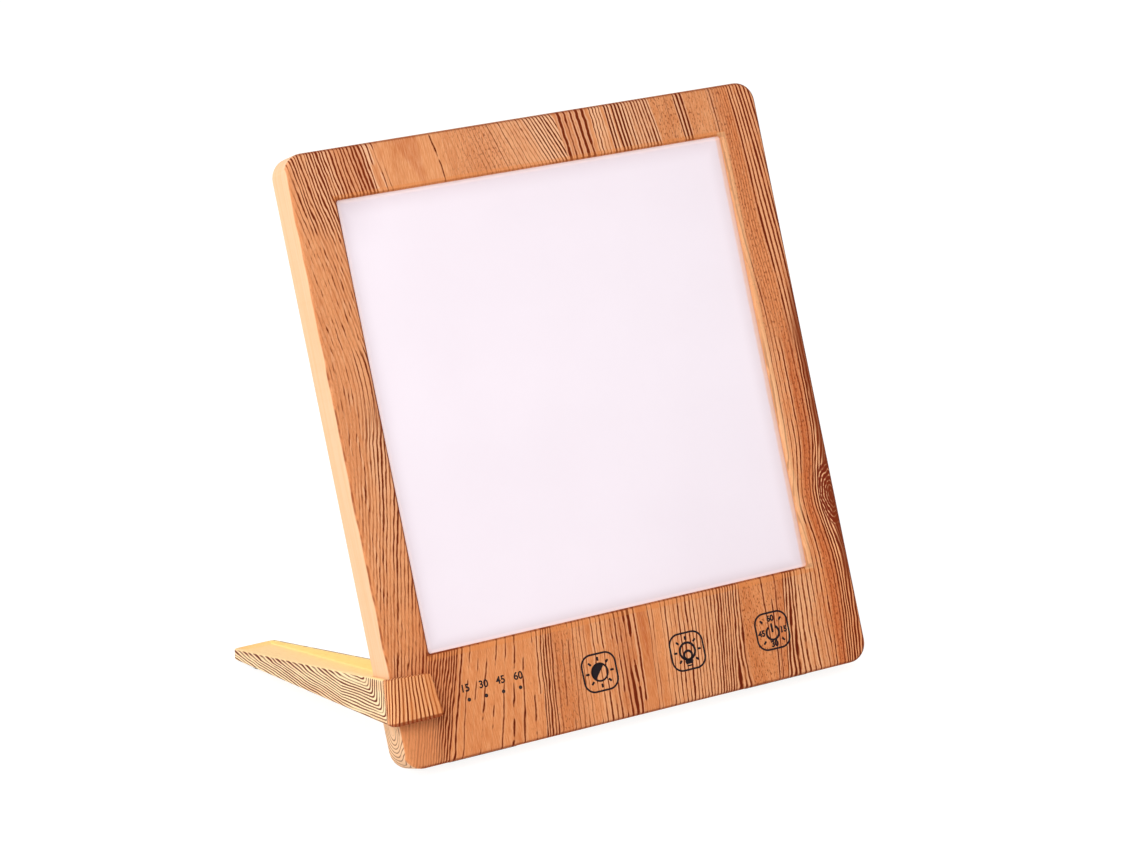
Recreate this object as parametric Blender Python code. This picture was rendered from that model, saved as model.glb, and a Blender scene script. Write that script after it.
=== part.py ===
"""Tablet-style light therapy lamp on a clip-on stand leg.

Every piece is modelled in the panel's own frame: X to the right across the front,
Y into the panel from its front face, Z up along the panel from its bottom edge.
An empty then leans that frame back and stands it on its feet.
"""

import math

import bmesh
import bpy
from mathutils import Matrix, Vector

# Panel
PANEL_WIDTH = 0.205
PANEL_HEIGHT = 0.238
PANEL_DEPTH = 0.0155
PANEL_LEAN = math.radians(17.5)
CORNER_RADIUS = 0.008
FRONT_FILLET = 0.0018
REAR_FILLET = 0.0010
WALL = 0.0022
FACE = 0.0022
SEAT_GAP = 0.0003
CUT_OVERRUN = 0.004
CORNER_STEPS = 8
FILLET_STEPS = 4

# Window in the bezel
BORDER_SIDE = 0.0186
BORDER_TOP = 0.020
BORDER_BOTTOM = 0.042
WINDOW_RADIUS = 0.0012
WINDOW_LIP = 0.0014

# Light stack behind the window, front to back
STACK_OVERLAP = 0.0035
STACK_RADIUS = 0.0015
DIFFUSER_THICKNESS = 0.0015
FILM_THICKNESS = 0.0003
GUIDE_THICKNESS = 0.003
REFLECTOR_THICKNESS = 0.0003
GUIDE_RIB_THICKNESS = 0.0012
GUIDE_RIB_LENGTH = 0.020
GUIDE_RIB_SHARES = (0.38, 0.62)

# Folded back plate
PLATE_THICKNESS = 0.001
PLATE_TAB_WIDTH = 0.010
PLATE_TAB_LENGTH = 0.0085
PLATE_TAB_SHARES = (0.195, 0.805)

# Edge-lit strips
STRIP_THICKNESS = 0.001
STRIP_END_INSET = 0.0055
LED_COUNT = 20
LED_LENGTH = 0.0030
LED_WIDTH = 0.0014
LED_HEIGHT = 0.0009
LED_ROOT = 0.0003
LED_TO_GUIDE = 0.0012

# Rear cover
COVER_THICKNESS = 0.002
COVER_CHAMFER = 0.0004
COVER_RIB_THICKNESS = 0.0012
COVER_RIB_ROOT = 0.0005
COVER_RIB_INSET = 0.009
COVER_RIB_UPRIGHT_SHARES = (0.25, 0.5, 0.75)
COVER_RIB_LEVEL_SHARES = (0.25, 0.5, 0.75)
CUP_RADIUS = 0.0036
CUP_FLOOR = 0.0012
HEAD_SUNK = 0.0003

# Screws and the bosses that take them
SHANK_RADIUS = 0.0011
THREAD_GAP = 0.00015
CLEARANCE_RADIUS = 0.00145
BOSS_RADIUS = 0.0028
HEAD_RADIUS = 0.0023
HEAD_HEIGHT = 0.0015
HEAD_CHAMFER = 0.0004
SCREW_LENGTH = 0.0065
SHORT_SCREW_LENGTH = 0.0042
PILOT_FLOOR = 0.0004
RECESS_SIDE_GAP = 0.0004
CORNER_SCREW_INSET = 0.009
SIDE_SCREW_SHARE = 0.55
ROUND_STEPS = 16
PIN_STEPS = 8

# Main board behind the key border
BOARD_LEFT = 0.022
BOARD_RIGHT_INSET = 0.0135
BOARD_BOTTOM = 0.007
BOARD_TOP_CLEARANCE = 0.0007
BOARD_THICKNESS = 0.0012
BOARD_STANDOFF = 0.0039
BOARD_SCREW_INSET = 0.0035

# Touch keys, with a spring behind each
KEY_COUNT = 3
KEY_PITCH = 0.0387
KEY_ROW_INSET = 0.0407
KEY_ROW_HEIGHT = 0.020
SPRING_RADIUS = 0.0040
SPRING_WIRE_RADIUS = 0.0003
SPRING_TURNS = 3
SPRING_STEPS = 14
SPRING_SIDES_RESOLUTION = 1
SPRING_TAPER_SHARE = 0.25
SPRING_FLAT_TURNS = 0.5

# Indicators at the left of the keys
INDICATOR_COUNT = 4
INDICATOR_PITCH = 0.0073
INDICATOR_ROW_SHARE = 0.2032
INDICATOR_HEIGHT = 0.0216
PIPE_PIN_RADIUS = 0.0005
PIPE_PIN_GAP = 0.00015
PIPE_PIN_SUNK = 0.0001
PIPE_END = 0.0024
PIPE_HEIGHT = 0.004
PIPE_DEPTH = 0.0022
CHIP_LED_LENGTH = 0.0016
CHIP_LED_HEIGHT = 0.0010
CHIP_LED_DEPTH = 0.0006

# Parts on the back of the board
CHIP_SIDE = 0.007
CHIP_HEIGHT = 0.001
DRIVER_LENGTH = 0.005
DRIVER_WIDTH = 0.004
DRIVER_HEIGHT = 0.0014
INDUCTOR_SIDE = 0.008
INDUCTOR_HEIGHT = 0.0036
CAPACITOR_RADIUS = 0.0025
CAPACITOR_HEIGHT = 0.0042
CONNECTOR_LENGTH = 0.006
CONNECTOR_WIDTH = 0.004
CONNECTOR_HEIGHT = 0.0030
CONNECTOR_SOCKET = 0.0012
PART_EDGE_BEVEL = 0.0003
CHIP_PLACE_SHARES = (0.61, 0.50)
DRIVER_PLACE_SHARES = (0.72, 0.35)
INDUCTOR_PLACE_SHARES = (0.80, 0.48)
CAPACITOR_PLACE_SHARES = (0.88, 0.50)
CONNECTOR_LEFT_PLACE_SHARES = (0.10, 0.50)
CONNECTOR_RIGHT_PLACE_SHARES = (0.71, 0.84)

# Leads from the board to the strips: shares of the way across, forward and up at each station
LEAD_RADIUS = 0.0008
LEAD_POINTS = 24
LEAD_SIDES_RESOLUTION = 2
LEAD_LEFT_SHARES = (
    (0, 0, 0),
    (0.34, 0, 0),
    (0.70, 0.10, 0.07),
    (0.87, 0.35, 0.31),
    (0.98, 0.80, 0.61),
    (1, 1, 0.85),
    (1, 1, 1),
)
LEAD_RIGHT_SHARES = (
    (0, 0, 0),
    (0.20, 0, 0),
    (0.45, 0, 0.02),
    (0.66, 0, 0.22),
    (0.88, 0.45, 0.45),
    (1, 1, 0.76),
    (1, 1, 1),
)

# Barrel socket in the rear cover
JACK_INSET = 0.0055
JACK_BODY = 0.009
JACK_NOSE_RADIUS = 0.0042
JACK_BORE_RADIUS = 0.0030
JACK_PIN_RADIUS = 0.0010
JACK_BORE_DEPTH = 0.0090
JACK_PIN_SUNK = 0.0010
JACK_FLOOR = 0.0014
JACK_TAB = 0.0022
JACK_TAB_THICKNESS = 0.0006
JACK_NOSE_SUNK = 0.0004
JACK_STEPS = 20

# Feet
FOOT_LAND_WIDTH = 0.0037
FOOT_LENGTH = 0.030
FOOT_WIDTH = 0.0030
FOOT_THICKNESS = 0.0011
FOOT_INSET = 0.022
FOOT_CORNER_RADIUS = 0.0010

# Stand leg: a jaw round the panel's left edge, and a tapering tray behind it
JAW_OUTSIDE = 0.0022
LUG_THICKNESS = 0.0033
LUG_REACH = 0.0161
LUG_CORNER_RADIUS = 0.0028
LUG_TOP_FALL_SLOPE = 0.07
LUG_TOP_FALL_START = 0.0012
LUG_TOP_CORNER_RADIUS = 0.0012
JAW_CORNER_RADIUS = 0.0028
JAW_EDGE_RADIUS = 0.0008
SLOT_CORNER_RADIUS = 0.0004
STAND_FAR_SIDE = 0.0167
STAND_LENGTH = 0.1665
STAND_END_RADIUS = 0.0028
STAND_TOP_AT_FACE = 0.0363
STAND_BOTTOM_AT_FACE = 0.0190
STAND_END_HEIGHT = 0.00445
STAND_HEEL_GAP = 0.0004
STAND_DRAFT_SLOPE = 0.09
STAND_EDGE_ROUND = 0.0006
STAND_CORNER_STEPS = 6
STAND_EDGE_STEPS = 3
TRAY_WALL = 0.0018
TRAY_DEPTH_AT_JAW = 0.0055
TRAY_DEPTH_AT_END = 0.0014
TRAY_FLOOR_ROUND = 0.0006
CORE_WEB = 0.0020
CORE_COUNT = 5
CORE_RIB = 0.0014
CORE_CORNER_RADIUS = 0.0012
CORE_LAST_SHARE = 0.80
STAND_FOOT_LENGTH = 0.013
STAND_FOOT_SIDE_INSET = 0.0030
STAND_FOOT_END_INSET = 0.0035
STAND_FOOT_POCKET = 0.0009
STAND_FOOT_CORNER = 0.0020


# Stations derived from the sizes above
window_left = BORDER_SIDE
window_right = PANEL_WIDTH - BORDER_SIDE
window_bottom = BORDER_BOTTOM
window_top = PANEL_HEIGHT - BORDER_TOP

stack_left = window_left - STACK_OVERLAP
stack_right = window_right + STACK_OVERLAP
stack_bottom = window_bottom - STACK_OVERLAP
stack_top = window_top + STACK_OVERLAP

diffuser_front = FACE + SEAT_GAP
film_front = diffuser_front + DIFFUSER_THICKNESS + SEAT_GAP
guide_front = film_front + FILM_THICKNESS + SEAT_GAP
guide_back = guide_front + GUIDE_THICKNESS
reflector_front = guide_back + SEAT_GAP
plate_front = reflector_front + REFLECTOR_THICKNESS + SEAT_GAP
plate_back = plate_front + PLATE_THICKNESS

led_reach = LED_TO_GUIDE + LED_HEIGHT + STRIP_THICKNESS
flange_inner = led_reach + SEAT_GAP
flange_outer = flange_inner + PLATE_THICKNESS
plate_left = stack_left - flange_outer
plate_right = stack_right + flange_outer
strip_front = guide_front
strip_back = guide_back
strip_bottom = stack_bottom + STRIP_END_INSET
strip_top = stack_top - STRIP_END_INSET

cover_front = PANEL_DEPTH - COVER_THICKNESS
cover_inset = WALL + SEAT_GAP
head_seat = PANEL_DEPTH - HEAD_SUNK - HEAD_HEIGHT
cup_front = head_seat - SEAT_GAP - CUP_FLOOR
cover_boss_back = cup_front - SEAT_GAP

tab_screw_offset = PLATE_TAB_LENGTH - BOSS_RADIUS - FACE / 2
low_tab_screw = stack_bottom - tab_screw_offset
high_tab_screw = stack_top + tab_screw_offset
tab_columns = [PANEL_WIDTH * share for share in PLATE_TAB_SHARES]

board_right = PANEL_WIDTH - BOARD_RIGHT_INSET
board_top = low_tab_screw - BOSS_RADIUS - BOARD_TOP_CLEARANCE
board_front = FACE + BOARD_STANDOFF
board_back = board_front + BOARD_THICKNESS
parts_front = board_back + SEAT_GAP
jack_x = board_right - JACK_INSET
jack_z = (BOARD_BOTTOM + board_top) / 2

key_columns = [PANEL_WIDTH - KEY_ROW_INSET - KEY_PITCH * n for n in reversed(range(KEY_COUNT))]
indicator_left = PANEL_WIDTH * INDICATOR_ROW_SHARE - INDICATOR_PITCH * (INDICATOR_COUNT - 1) / 2
indicator_columns = [indicator_left + INDICATOR_PITCH * n for n in range(INDICATOR_COUNT)]

side_screw_x = (WALL + plate_left) / 2
cover_screw_places = [
    (CORNER_SCREW_INSET, CORNER_SCREW_INSET),
    (PANEL_WIDTH - CORNER_SCREW_INSET, CORNER_SCREW_INSET),
    (CORNER_SCREW_INSET, PANEL_HEIGHT - CORNER_SCREW_INSET),
    (PANEL_WIDTH - CORNER_SCREW_INSET, PANEL_HEIGHT - CORNER_SCREW_INSET),
    (side_screw_x, PANEL_HEIGHT * SIDE_SCREW_SHARE),
    (PANEL_WIDTH - side_screw_x, PANEL_HEIGHT * SIDE_SCREW_SHARE),
]
plate_screw_places = [(x, z) for z in (low_tab_screw, high_tab_screw) for x in tab_columns]
board_screw_places = [
    (x, z)
    for z in (BOARD_BOTTOM + BOARD_SCREW_INSET, board_top - BOARD_SCREW_INSET)
    for x in (BOARD_LEFT + BOARD_SCREW_INSET, board_right - BOARD_SCREW_INSET)
]

# The panel leans back, so the ground is a sloping line in its own frame
lean_sine = math.sin(PANEL_LEAN)
lean_cosine = math.cos(PANEL_LEAN)
land_depth = (PANEL_DEPTH - FOOT_LAND_WIDTH * lean_cosine) * lean_sine
ground_depth = land_depth + SEAT_GAP + FOOT_THICKNESS
foot_lefts = (FOOT_INSET, PANEL_WIDTH - FOOT_INSET - FOOT_LENGTH)
seat_cut = (
    (-CUT_OVERRUN, land_depth),
    (PANEL_DEPTH + CUT_OVERRUN, land_depth),
    (PANEL_DEPTH + CUT_OVERRUN, land_depth + PANEL_DEPTH),
    (-CUT_OVERRUN, land_depth + PANEL_DEPTH),
)

slot_back = PANEL_DEPTH + SEAT_GAP
tray_start = slot_back + TRAY_WALL
tray_end = STAND_LENGTH - TRAY_WALL


def ground_height(depth_into, below):
    """Height at a depth of the level plane that lies so far below the front bottom edge."""
    return (depth_into * lean_sine - below) / lean_cosine


stand_heel = ground_height(STAND_LENGTH, ground_depth) + STAND_HEEL_GAP
stand_bottom_slope = (stand_heel - STAND_BOTTOM_AT_FACE) / STAND_LENGTH
stand_top_slope = (stand_heel + STAND_END_HEIGHT - STAND_TOP_AT_FACE) / STAND_LENGTH


def stand_top(depth_into):
    """Height of the leg's rim at a depth behind the panel's face."""
    return STAND_TOP_AT_FACE + stand_top_slope * depth_into


def stand_bottom(depth_into):
    """Height of the leg's underside at a depth behind the panel's face."""
    return STAND_BOTTOM_AT_FACE + stand_bottom_slope * depth_into


def stand_flare(depth_into):
    """How far the leg's drafted sides spread between its rim and its underside."""
    return STAND_DRAFT_SLOPE * (stand_top(depth_into) - stand_bottom(depth_into))


def tray_floor(depth_into):
    """Height of the tray's sloping floor."""
    share = (depth_into - tray_start) / (tray_end - tray_start)
    return stand_top(depth_into) - TRAY_DEPTH_AT_JAW - (TRAY_DEPTH_AT_END - TRAY_DEPTH_AT_JAW) * share


# Scene and materials
for old in list(bpy.data.objects):
    bpy.data.objects.remove(old)

lamp_frame = bpy.data.objects.new("lamp_frame", None)
bpy.context.collection.objects.link(lamp_frame)
stand_slide = bpy.data.objects.new("stand_slide", None)
bpy.context.collection.objects.link(stand_slide)
stand_slide.parent = lamp_frame
stand_slide.location = (0, PANEL_DEPTH / 2, (STAND_TOP_AT_FACE + STAND_BOTTOM_AT_FACE) / 2)


def finish(name, colour, roughness, metallic=0.0, alpha=1.0):
    """A Principled material."""
    material = bpy.data.materials.new(name)
    material.use_nodes = True
    shader = material.node_tree.nodes["Principled BSDF"]
    shader.inputs["Base Color"].default_value = (*colour, 1.0)
    shader.inputs["Roughness"].default_value = roughness
    shader.inputs["Metallic"].default_value = metallic
    shader.inputs["Alpha"].default_value = alpha
    return material


wood_print = finish("wood_print_plastic", (0.72, 0.31, 0.12), 0.45)
pale_plastic = finish("pale_wood_plastic", (0.91, 0.62, 0.36), 0.5)
opal = finish("opal_diffuser", (0.93, 0.86, 0.92), 0.5)
film = finish("diffusion_film", (0.9, 0.9, 0.9), 0.6, alpha=0.8)
acrylic = finish("light_guide_acrylic", (0.86, 0.93, 0.94), 0.08, alpha=0.5)
white_sheet = finish("reflector_white", (0.9, 0.9, 0.88), 0.4)
aluminium = finish("plate_aluminium", (0.72, 0.73, 0.74), 0.35, 1.0)
strip_white = finish("led_strip_white", (0.88, 0.87, 0.8), 0.5)
board_green = finish("board_green", (0.03, 0.22, 0.09), 0.4)
chip_black = finish("chip_black", (0.02, 0.02, 0.022), 0.45)
ferrite = finish("inductor_ferrite", (0.09, 0.09, 0.1), 0.6)
can_aluminium = finish("capacitor_can", (0.75, 0.75, 0.77), 0.3, 1.0)
connector_ivory = finish("connector_ivory", (0.85, 0.8, 0.68), 0.5)
lead_red = finish("lead_insulation", (0.5, 0.03, 0.03), 0.5)
socket_black = finish("socket_black", (0.015, 0.015, 0.015), 0.4)
spring_steel = finish("spring_steel", (0.6, 0.6, 0.58), 0.25, 1.0)
clear_pipe = finish("clear_pipe", (0.9, 0.9, 0.9), 0.1, alpha=0.6)
led_amber = finish("led_package", (0.9, 0.8, 0.5), 0.4)
zinc = finish("zinc_screw", (0.62, 0.62, 0.6), 0.3, 1.0)
rubber = finish("foot_rubber", (0.04, 0.04, 0.04), 0.8)


# Outlines and lofts
def rounded_outline(corners, inset, steps):
    """A closed outline of (a, b) pairs: each (a, b, radius) corner becomes an arc.

    The corners run anticlockwise. A positive inset moves every side inwards.
    """
    count = len(corners)
    points = [Vector(corner[:2]) for corner in corners]
    ahead = [(points[(n + 1) % count] - points[n]).normalized() for n in range(count)]
    outline = []
    for n in range(count):
        before, after = ahead[n - 1], ahead[n]
        turn = before.x * after.y - before.y * after.x
        inward_before = Vector((-before.y, before.x))
        inward_after = Vector((-after.y, after.x))
        half = math.atan2(turn, before.dot(after)) / 2
        mitre = (inward_before + inward_after).normalized() / math.cos(half)
        corner = points[n] + mitre * inset
        radius = corners[n][2] - inset if turn > 0 else corners[n][2] + inset
        radius = max(radius, 0)
        side = 1 if turn > 0 else -1
        centre = corner + mitre * radius * side
        start = -inward_before * side
        for step in range(steps + 1):
            angle = 2 * half * step / steps
            outline.append(centre + Matrix.Rotation(angle, 2) @ start * radius)
    return outline


def rectangle(left, right, bottom, top, radius):
    """Corners of an upright rectangle, anticlockwise seen from the front."""
    return [
        (right, bottom, radius),
        (right, top, radius),
        (left, top, radius),
        (left, bottom, radius),
    ]


def loft(mesh, rings, caps):
    """Quads between rings of equal length, in order; caps closes the first and last, or the loop."""
    made = [[mesh.verts.new(point) for point in ring] for ring in rings]
    pairs = list(zip(made, made[1:]))
    if caps == "loop":
        pairs.append((made[-1], made[0]))
    count = len(made[0])
    for low, high in pairs:
        for n in range(count):
            after = (n + 1) % count
            mesh.faces.new((low[n], low[after], high[after], high[n]))
    if caps == "ends":
        mesh.faces.new(made[0])
        mesh.faces.new(made[-1])


def at_depth(outline, depth_into):
    """A panel-plane outline placed at a depth."""
    return [(a, depth_into, b) for a, b in outline]


def circle(x, z, radius, depth_into, steps):
    """A ring round an axis that runs into the panel."""
    return [
        (x + radius * math.cos(2 * math.pi * n / steps), depth_into, z + radius * math.sin(2 * math.pi * n / steps))
        for n in range(steps)
    ]


def turned(mesh, x, z, profile, steps=ROUND_STEPS):
    """A solid turned about an axis into the panel, from (radius, depth) stations, capped at both ends."""
    loft(mesh, [circle(x, z, radius, depth_into, steps) for radius, depth_into in profile], "ends")


def block(mesh, low, high):
    """A box between two corners."""
    centre = (Vector(low) + Vector(high)) / 2
    size = Vector(high) - Vector(low)
    place = Matrix.Translation(centre) @ Matrix.Diagonal((*size, 1))
    bmesh.ops.create_cube(mesh, size=1, matrix=place)


def slab(mesh, corners, front, back, steps=CORNER_STEPS):
    """A flat sheet with rounded corners between two depths."""
    outline = rounded_outline(corners, 0, steps)
    loft(mesh, [at_depth(outline, front), at_depth(outline, back)], "ends")


# Objects
def new_mesh():
    return bmesh.new()


def add_object(name, mesh, parent):
    """Turns a bmesh into an object in the panel's frame, with its faces pointing out."""
    bmesh.ops.recalc_face_normals(mesh, faces=mesh.faces)
    data = bpy.data.meshes.new(name)
    mesh.to_mesh(data)
    mesh.free()
    data.shade_smooth()
    data.set_sharp_from_angle(angle=math.radians(35))
    added = bpy.data.objects.new(name, data)
    bpy.context.collection.objects.link(added)
    added.parent = parent
    return added


def add_piece(name, mesh, material, parent=lamp_frame):
    """A named piece with its material; a piece on the stand keeps its origin on the slide."""
    if parent is stand_slide:
        bmesh.ops.translate(mesh, vec=-parent.location, verts=mesh.verts)
    piece = add_object(name, mesh, parent)
    piece.data.materials.append(material)
    return piece


def combine(piece, mesh, operation):
    """Joins or cuts the piece with the mesh's closed bodies."""
    if piece.parent is stand_slide:
        bmesh.ops.translate(mesh, vec=-piece.parent.location, verts=mesh.verts)
    tool = add_object(piece.name + "_" + operation.lower(), mesh, piece.parent)
    tool.hide_render = True
    tool.display_type = "WIRE"
    modifier = piece.modifiers.new(tool.name, "BOOLEAN")
    modifier.object = tool
    modifier.operation = operation
    modifier.solver = "EXACT"
    modifier.use_self = True
    tool.hide_set(True)


def add_cord(name, points, radius, sides_resolution, material):
    """A round wire or lead along points in the panel's frame."""
    curve = bpy.data.curves.new(name, "CURVE")
    curve.dimensions = "3D"
    curve.bevel_depth = radius
    curve.bevel_resolution = sides_resolution
    curve.use_fill_caps = True
    spline = curve.splines.new("POLY")
    spline.points.add(len(points) - 1)
    for place, point in zip(spline.points, points):
        place.co = (*point, 1)
    curve.materials.append(material)
    cord = bpy.data.objects.new(name, curve)
    bpy.context.collection.objects.link(cord)
    cord.parent = lamp_frame
    return cord


def smooth_run(stations, count):
    """Evenly parameterised points on a smooth curve through the stations."""
    ends = [2 * stations[0] - stations[1], *stations, 2 * stations[-1] - stations[-2]]
    spans = len(stations) - 1
    points = []
    for n in range(count):
        at = spans * n / (count - 1)
        span = min(int(at), spans - 1)
        t = at - span
        a, b, c, d = ends[span : span + 4]
        points.append(
            (2 * b + (c - a) * t + (2 * a - 5 * b + 4 * c - d) * t**2 + (3 * b - a - 3 * c + d) * t**3) / 2
        )
    return points


# Front frame
def build_front_frame():
    """Bezel and side walls as one loft of rings, from the window's lip round to its back."""
    outer = rectangle(0, PANEL_WIDTH, 0, PANEL_HEIGHT, CORNER_RADIUS)
    window = rectangle(window_left, window_right, window_bottom, window_top, WINDOW_RADIUS)
    rings = []
    rings.append(at_depth(rounded_outline(window, 0, CORNER_STEPS), FACE))
    for step in range(FILLET_STEPS + 1):
        angle = math.radians(90) * step / FILLET_STEPS
        spread = -WINDOW_LIP * (1 - math.cos(angle))
        depth_into = WINDOW_LIP * (1 - math.sin(angle))
        rings.append(at_depth(rounded_outline(window, spread, CORNER_STEPS), depth_into))
    for step in range(FILLET_STEPS + 1):
        angle = math.radians(90) * step / FILLET_STEPS
        inset = FRONT_FILLET * (1 - math.sin(angle))
        depth_into = FRONT_FILLET * (1 - math.cos(angle))
        rings.append(at_depth(rounded_outline(outer, inset, CORNER_STEPS), depth_into))
    for step in range(FILLET_STEPS):
        angle = math.radians(90) * step / (FILLET_STEPS - 1)
        inset = REAR_FILLET * (1 - math.cos(angle))
        depth_into = PANEL_DEPTH - REAR_FILLET * (1 - math.sin(angle))
        rings.append(at_depth(rounded_outline(outer, inset, CORNER_STEPS), depth_into))
    inner = rounded_outline(outer, WALL, CORNER_STEPS)
    rings.append(at_depth(inner, PANEL_DEPTH))
    rings.append(at_depth(inner, FACE))
    mesh = new_mesh()
    loft(mesh, rings, "loop")
    frame = add_piece("front_frame", mesh, wood_print)

    holes = new_mesh()
    for x in indicator_columns:
        profile = [(PIPE_PIN_RADIUS + PIPE_PIN_GAP, depth_into) for depth_into in (-CUT_OVERRUN, FACE + CUT_OVERRUN)]
        turned(holes, x, INDICATOR_HEIGHT, profile, PIN_STEPS)
    combine(frame, holes, "DIFFERENCE")

    land = new_mesh()
    for left in foot_lefts:
        ends = (left - SEAT_GAP, left + FOOT_LENGTH + SEAT_GAP)
        loft(land, [[(x, y, ground_height(y, depth)) for y, depth in seat_cut] for x in ends], "ends")
    combine(frame, land, "DIFFERENCE")

    boss_tops = [(x, z, cover_boss_back) for x, z in cover_screw_places]
    boss_tops += [(x, z, plate_front - SEAT_GAP) for x, z in plate_screw_places]
    boss_tops += [(x, z, board_front - SEAT_GAP) for x, z in board_screw_places]
    bosses = new_mesh()
    root = FACE - SEAT_GAP
    pilot = SHANK_RADIUS + THREAD_GAP
    for x, z, top in boss_tops:
        profile = [(BOSS_RADIUS, root), (BOSS_RADIUS, top), (pilot, top), (pilot, FACE + PILOT_FLOOR)]
        turned(bosses, x, z, profile)
    for share in GUIDE_RIB_SHARES:
        left = PANEL_WIDTH * share - GUIDE_RIB_LENGTH / 2
        for near, far in (
            (stack_top + SEAT_GAP, stack_top + SEAT_GAP + GUIDE_RIB_THICKNESS),
            (stack_bottom - SEAT_GAP - GUIDE_RIB_THICKNESS, stack_bottom - SEAT_GAP),
        ):
            block(bosses, (left, root, near), (left + GUIDE_RIB_LENGTH, guide_back, far))
    combine(frame, bosses, "UNION")


# Rear cover
def build_rear_cover():
    """Flat cover set into the frame, with screw cups, ribs onto the back plate and the socket's hole."""
    outer = rectangle(0, PANEL_WIDTH, 0, PANEL_HEIGHT, CORNER_RADIUS)
    plain = rounded_outline(outer, cover_inset, CORNER_STEPS)
    small = rounded_outline(outer, cover_inset + COVER_CHAMFER, CORNER_STEPS)
    mesh = new_mesh()
    loft(
        mesh,
        [
            at_depth(plain, cover_front),
            at_depth(plain, PANEL_DEPTH - COVER_CHAMFER),
            at_depth(small, PANEL_DEPTH),
        ],
        "ends",
    )
    cover = add_piece("rear_cover", mesh, pale_plastic)

    joined = new_mesh()
    root = cover_front + COVER_RIB_ROOT
    for x, z in cover_screw_places:
        turned(joined, x, z, [(CUP_RADIUS, cup_front), (CUP_RADIUS, root)])
    combine(cover, joined, "UNION")

    left, right = plate_left + COVER_RIB_INSET, plate_right - COVER_RIB_INSET
    low, high = stack_bottom + COVER_RIB_INSET, stack_top - COVER_RIB_INSET
    rib_front = plate_back + SEAT_GAP
    half = COVER_RIB_THICKNESS / 2
    uprights = new_mesh()
    for share in COVER_RIB_UPRIGHT_SHARES:
        x = left + (right - left) * share
        block(uprights, (x - half, rib_front, low), (x + half, root, high))
    combine(cover, uprights, "UNION")
    levels = new_mesh()
    for share in COVER_RIB_LEVEL_SHARES:
        z = low + (high - low) * share
        block(levels, (left, rib_front + half, z - half), (right, root, z + half))
    combine(cover, levels, "UNION")

    cuts = new_mesh()
    recess = HEAD_RADIUS + RECESS_SIDE_GAP
    for x, z in cover_screw_places:
        profile = [
            (CLEARANCE_RADIUS, cup_front - CUT_OVERRUN),
            (CLEARANCE_RADIUS, head_seat - SEAT_GAP),
            (recess, head_seat - SEAT_GAP),
            (recess, PANEL_DEPTH + CUT_OVERRUN),
        ]
        turned(cuts, x, z, profile)
    mouth = JACK_NOSE_RADIUS + SEAT_GAP
    turned(cuts, jack_x, jack_z, [(mouth, cover_front - CUT_OVERRUN), (mouth, PANEL_DEPTH + CUT_OVERRUN)], JACK_STEPS)
    combine(cover, cuts, "DIFFERENCE")


# Light stack
def build_light_stack():
    """Diffuser, film, light guide and reflector, as flat sheets one behind the other."""
    sheets = (
        ("diffuser", opal, diffuser_front, DIFFUSER_THICKNESS),
        ("diffusion_film", film, film_front, FILM_THICKNESS),
        ("light_guide", acrylic, guide_front, GUIDE_THICKNESS),
        ("reflector_sheet", white_sheet, reflector_front, REFLECTOR_THICKNESS),
    )
    outline = rectangle(stack_left, stack_right, stack_bottom, stack_top, STACK_RADIUS)
    for name, material, front, thickness in sheets:
        mesh = new_mesh()
        slab(mesh, outline, front, front + thickness, FILLET_STEPS)
        add_piece(name, mesh, material)


def build_back_plate():
    """Sheet plate with a flange folded forward on each side and four screw tabs."""
    mesh = new_mesh()
    slab(
        mesh,
        rectangle(plate_left, plate_right, stack_bottom, stack_top, STACK_RADIUS),
        plate_front,
        plate_back,
        FILLET_STEPS,
    )
    plate = add_piece("back_plate", mesh, aluminium)
    joined = new_mesh()
    inside = plate_back - PLATE_THICKNESS / 2
    low, high = strip_bottom, strip_top
    for outer, inner in (
        (plate_left, plate_left + PLATE_THICKNESS),
        (plate_right - PLATE_THICKNESS, plate_right),
    ):
        block(joined, (outer, guide_front - SEAT_GAP, low), (inner, inside, high))
    combine(plate, joined, "UNION")
    tabs = new_mesh()
    for x in tab_columns:
        left, right = x - PLATE_TAB_WIDTH / 2, x + PLATE_TAB_WIDTH / 2
        for low, high in (
            (stack_bottom - PLATE_TAB_LENGTH, stack_bottom + PLATE_TAB_LENGTH),
            (stack_top - PLATE_TAB_LENGTH, stack_top + PLATE_TAB_LENGTH),
        ):
            slab(tabs, rectangle(left, right, low, high, STACK_RADIUS), plate_front, plate_back, FILLET_STEPS)
    combine(plate, tabs, "UNION")
    holes = new_mesh()
    for x, z in plate_screw_places:
        profile = [
            (CLEARANCE_RADIUS, plate_front - CUT_OVERRUN),
            (CLEARANCE_RADIUS, plate_back + CUT_OVERRUN),
        ]
        turned(holes, x, z, profile)
    combine(plate, holes, "DIFFERENCE")


def build_led_strips():
    """A strip on each flange, with its row of LEDs facing the light guide's edge."""
    pitch = (strip_top - strip_bottom) / LED_COUNT
    for name, edge, inwards in (("led_strip_left", stack_left, 1), ("led_strip_right", stack_right, -1)):
        back = edge - inwards * led_reach
        face = back + inwards * STRIP_THICKNESS
        tip = face + inwards * LED_HEIGHT
        mesh = new_mesh()
        block(mesh, (min(back, face), strip_front, strip_bottom), (max(back, face), strip_back, strip_top))
        strip = add_piece(name, mesh, strip_white)
        packages = new_mesh()
        middle = (strip_front + strip_back) / 2
        root = face - inwards * LED_ROOT
        for n in range(LED_COUNT):
            z = strip_bottom + pitch * (n + 0.5)
            low = (min(root, tip), middle - LED_WIDTH / 2, z - LED_LENGTH / 2)
            high = (max(root, tip), middle + LED_WIDTH / 2, z + LED_LENGTH / 2)
            block(packages, low, high)
        combine(strip, packages, "UNION")


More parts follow.
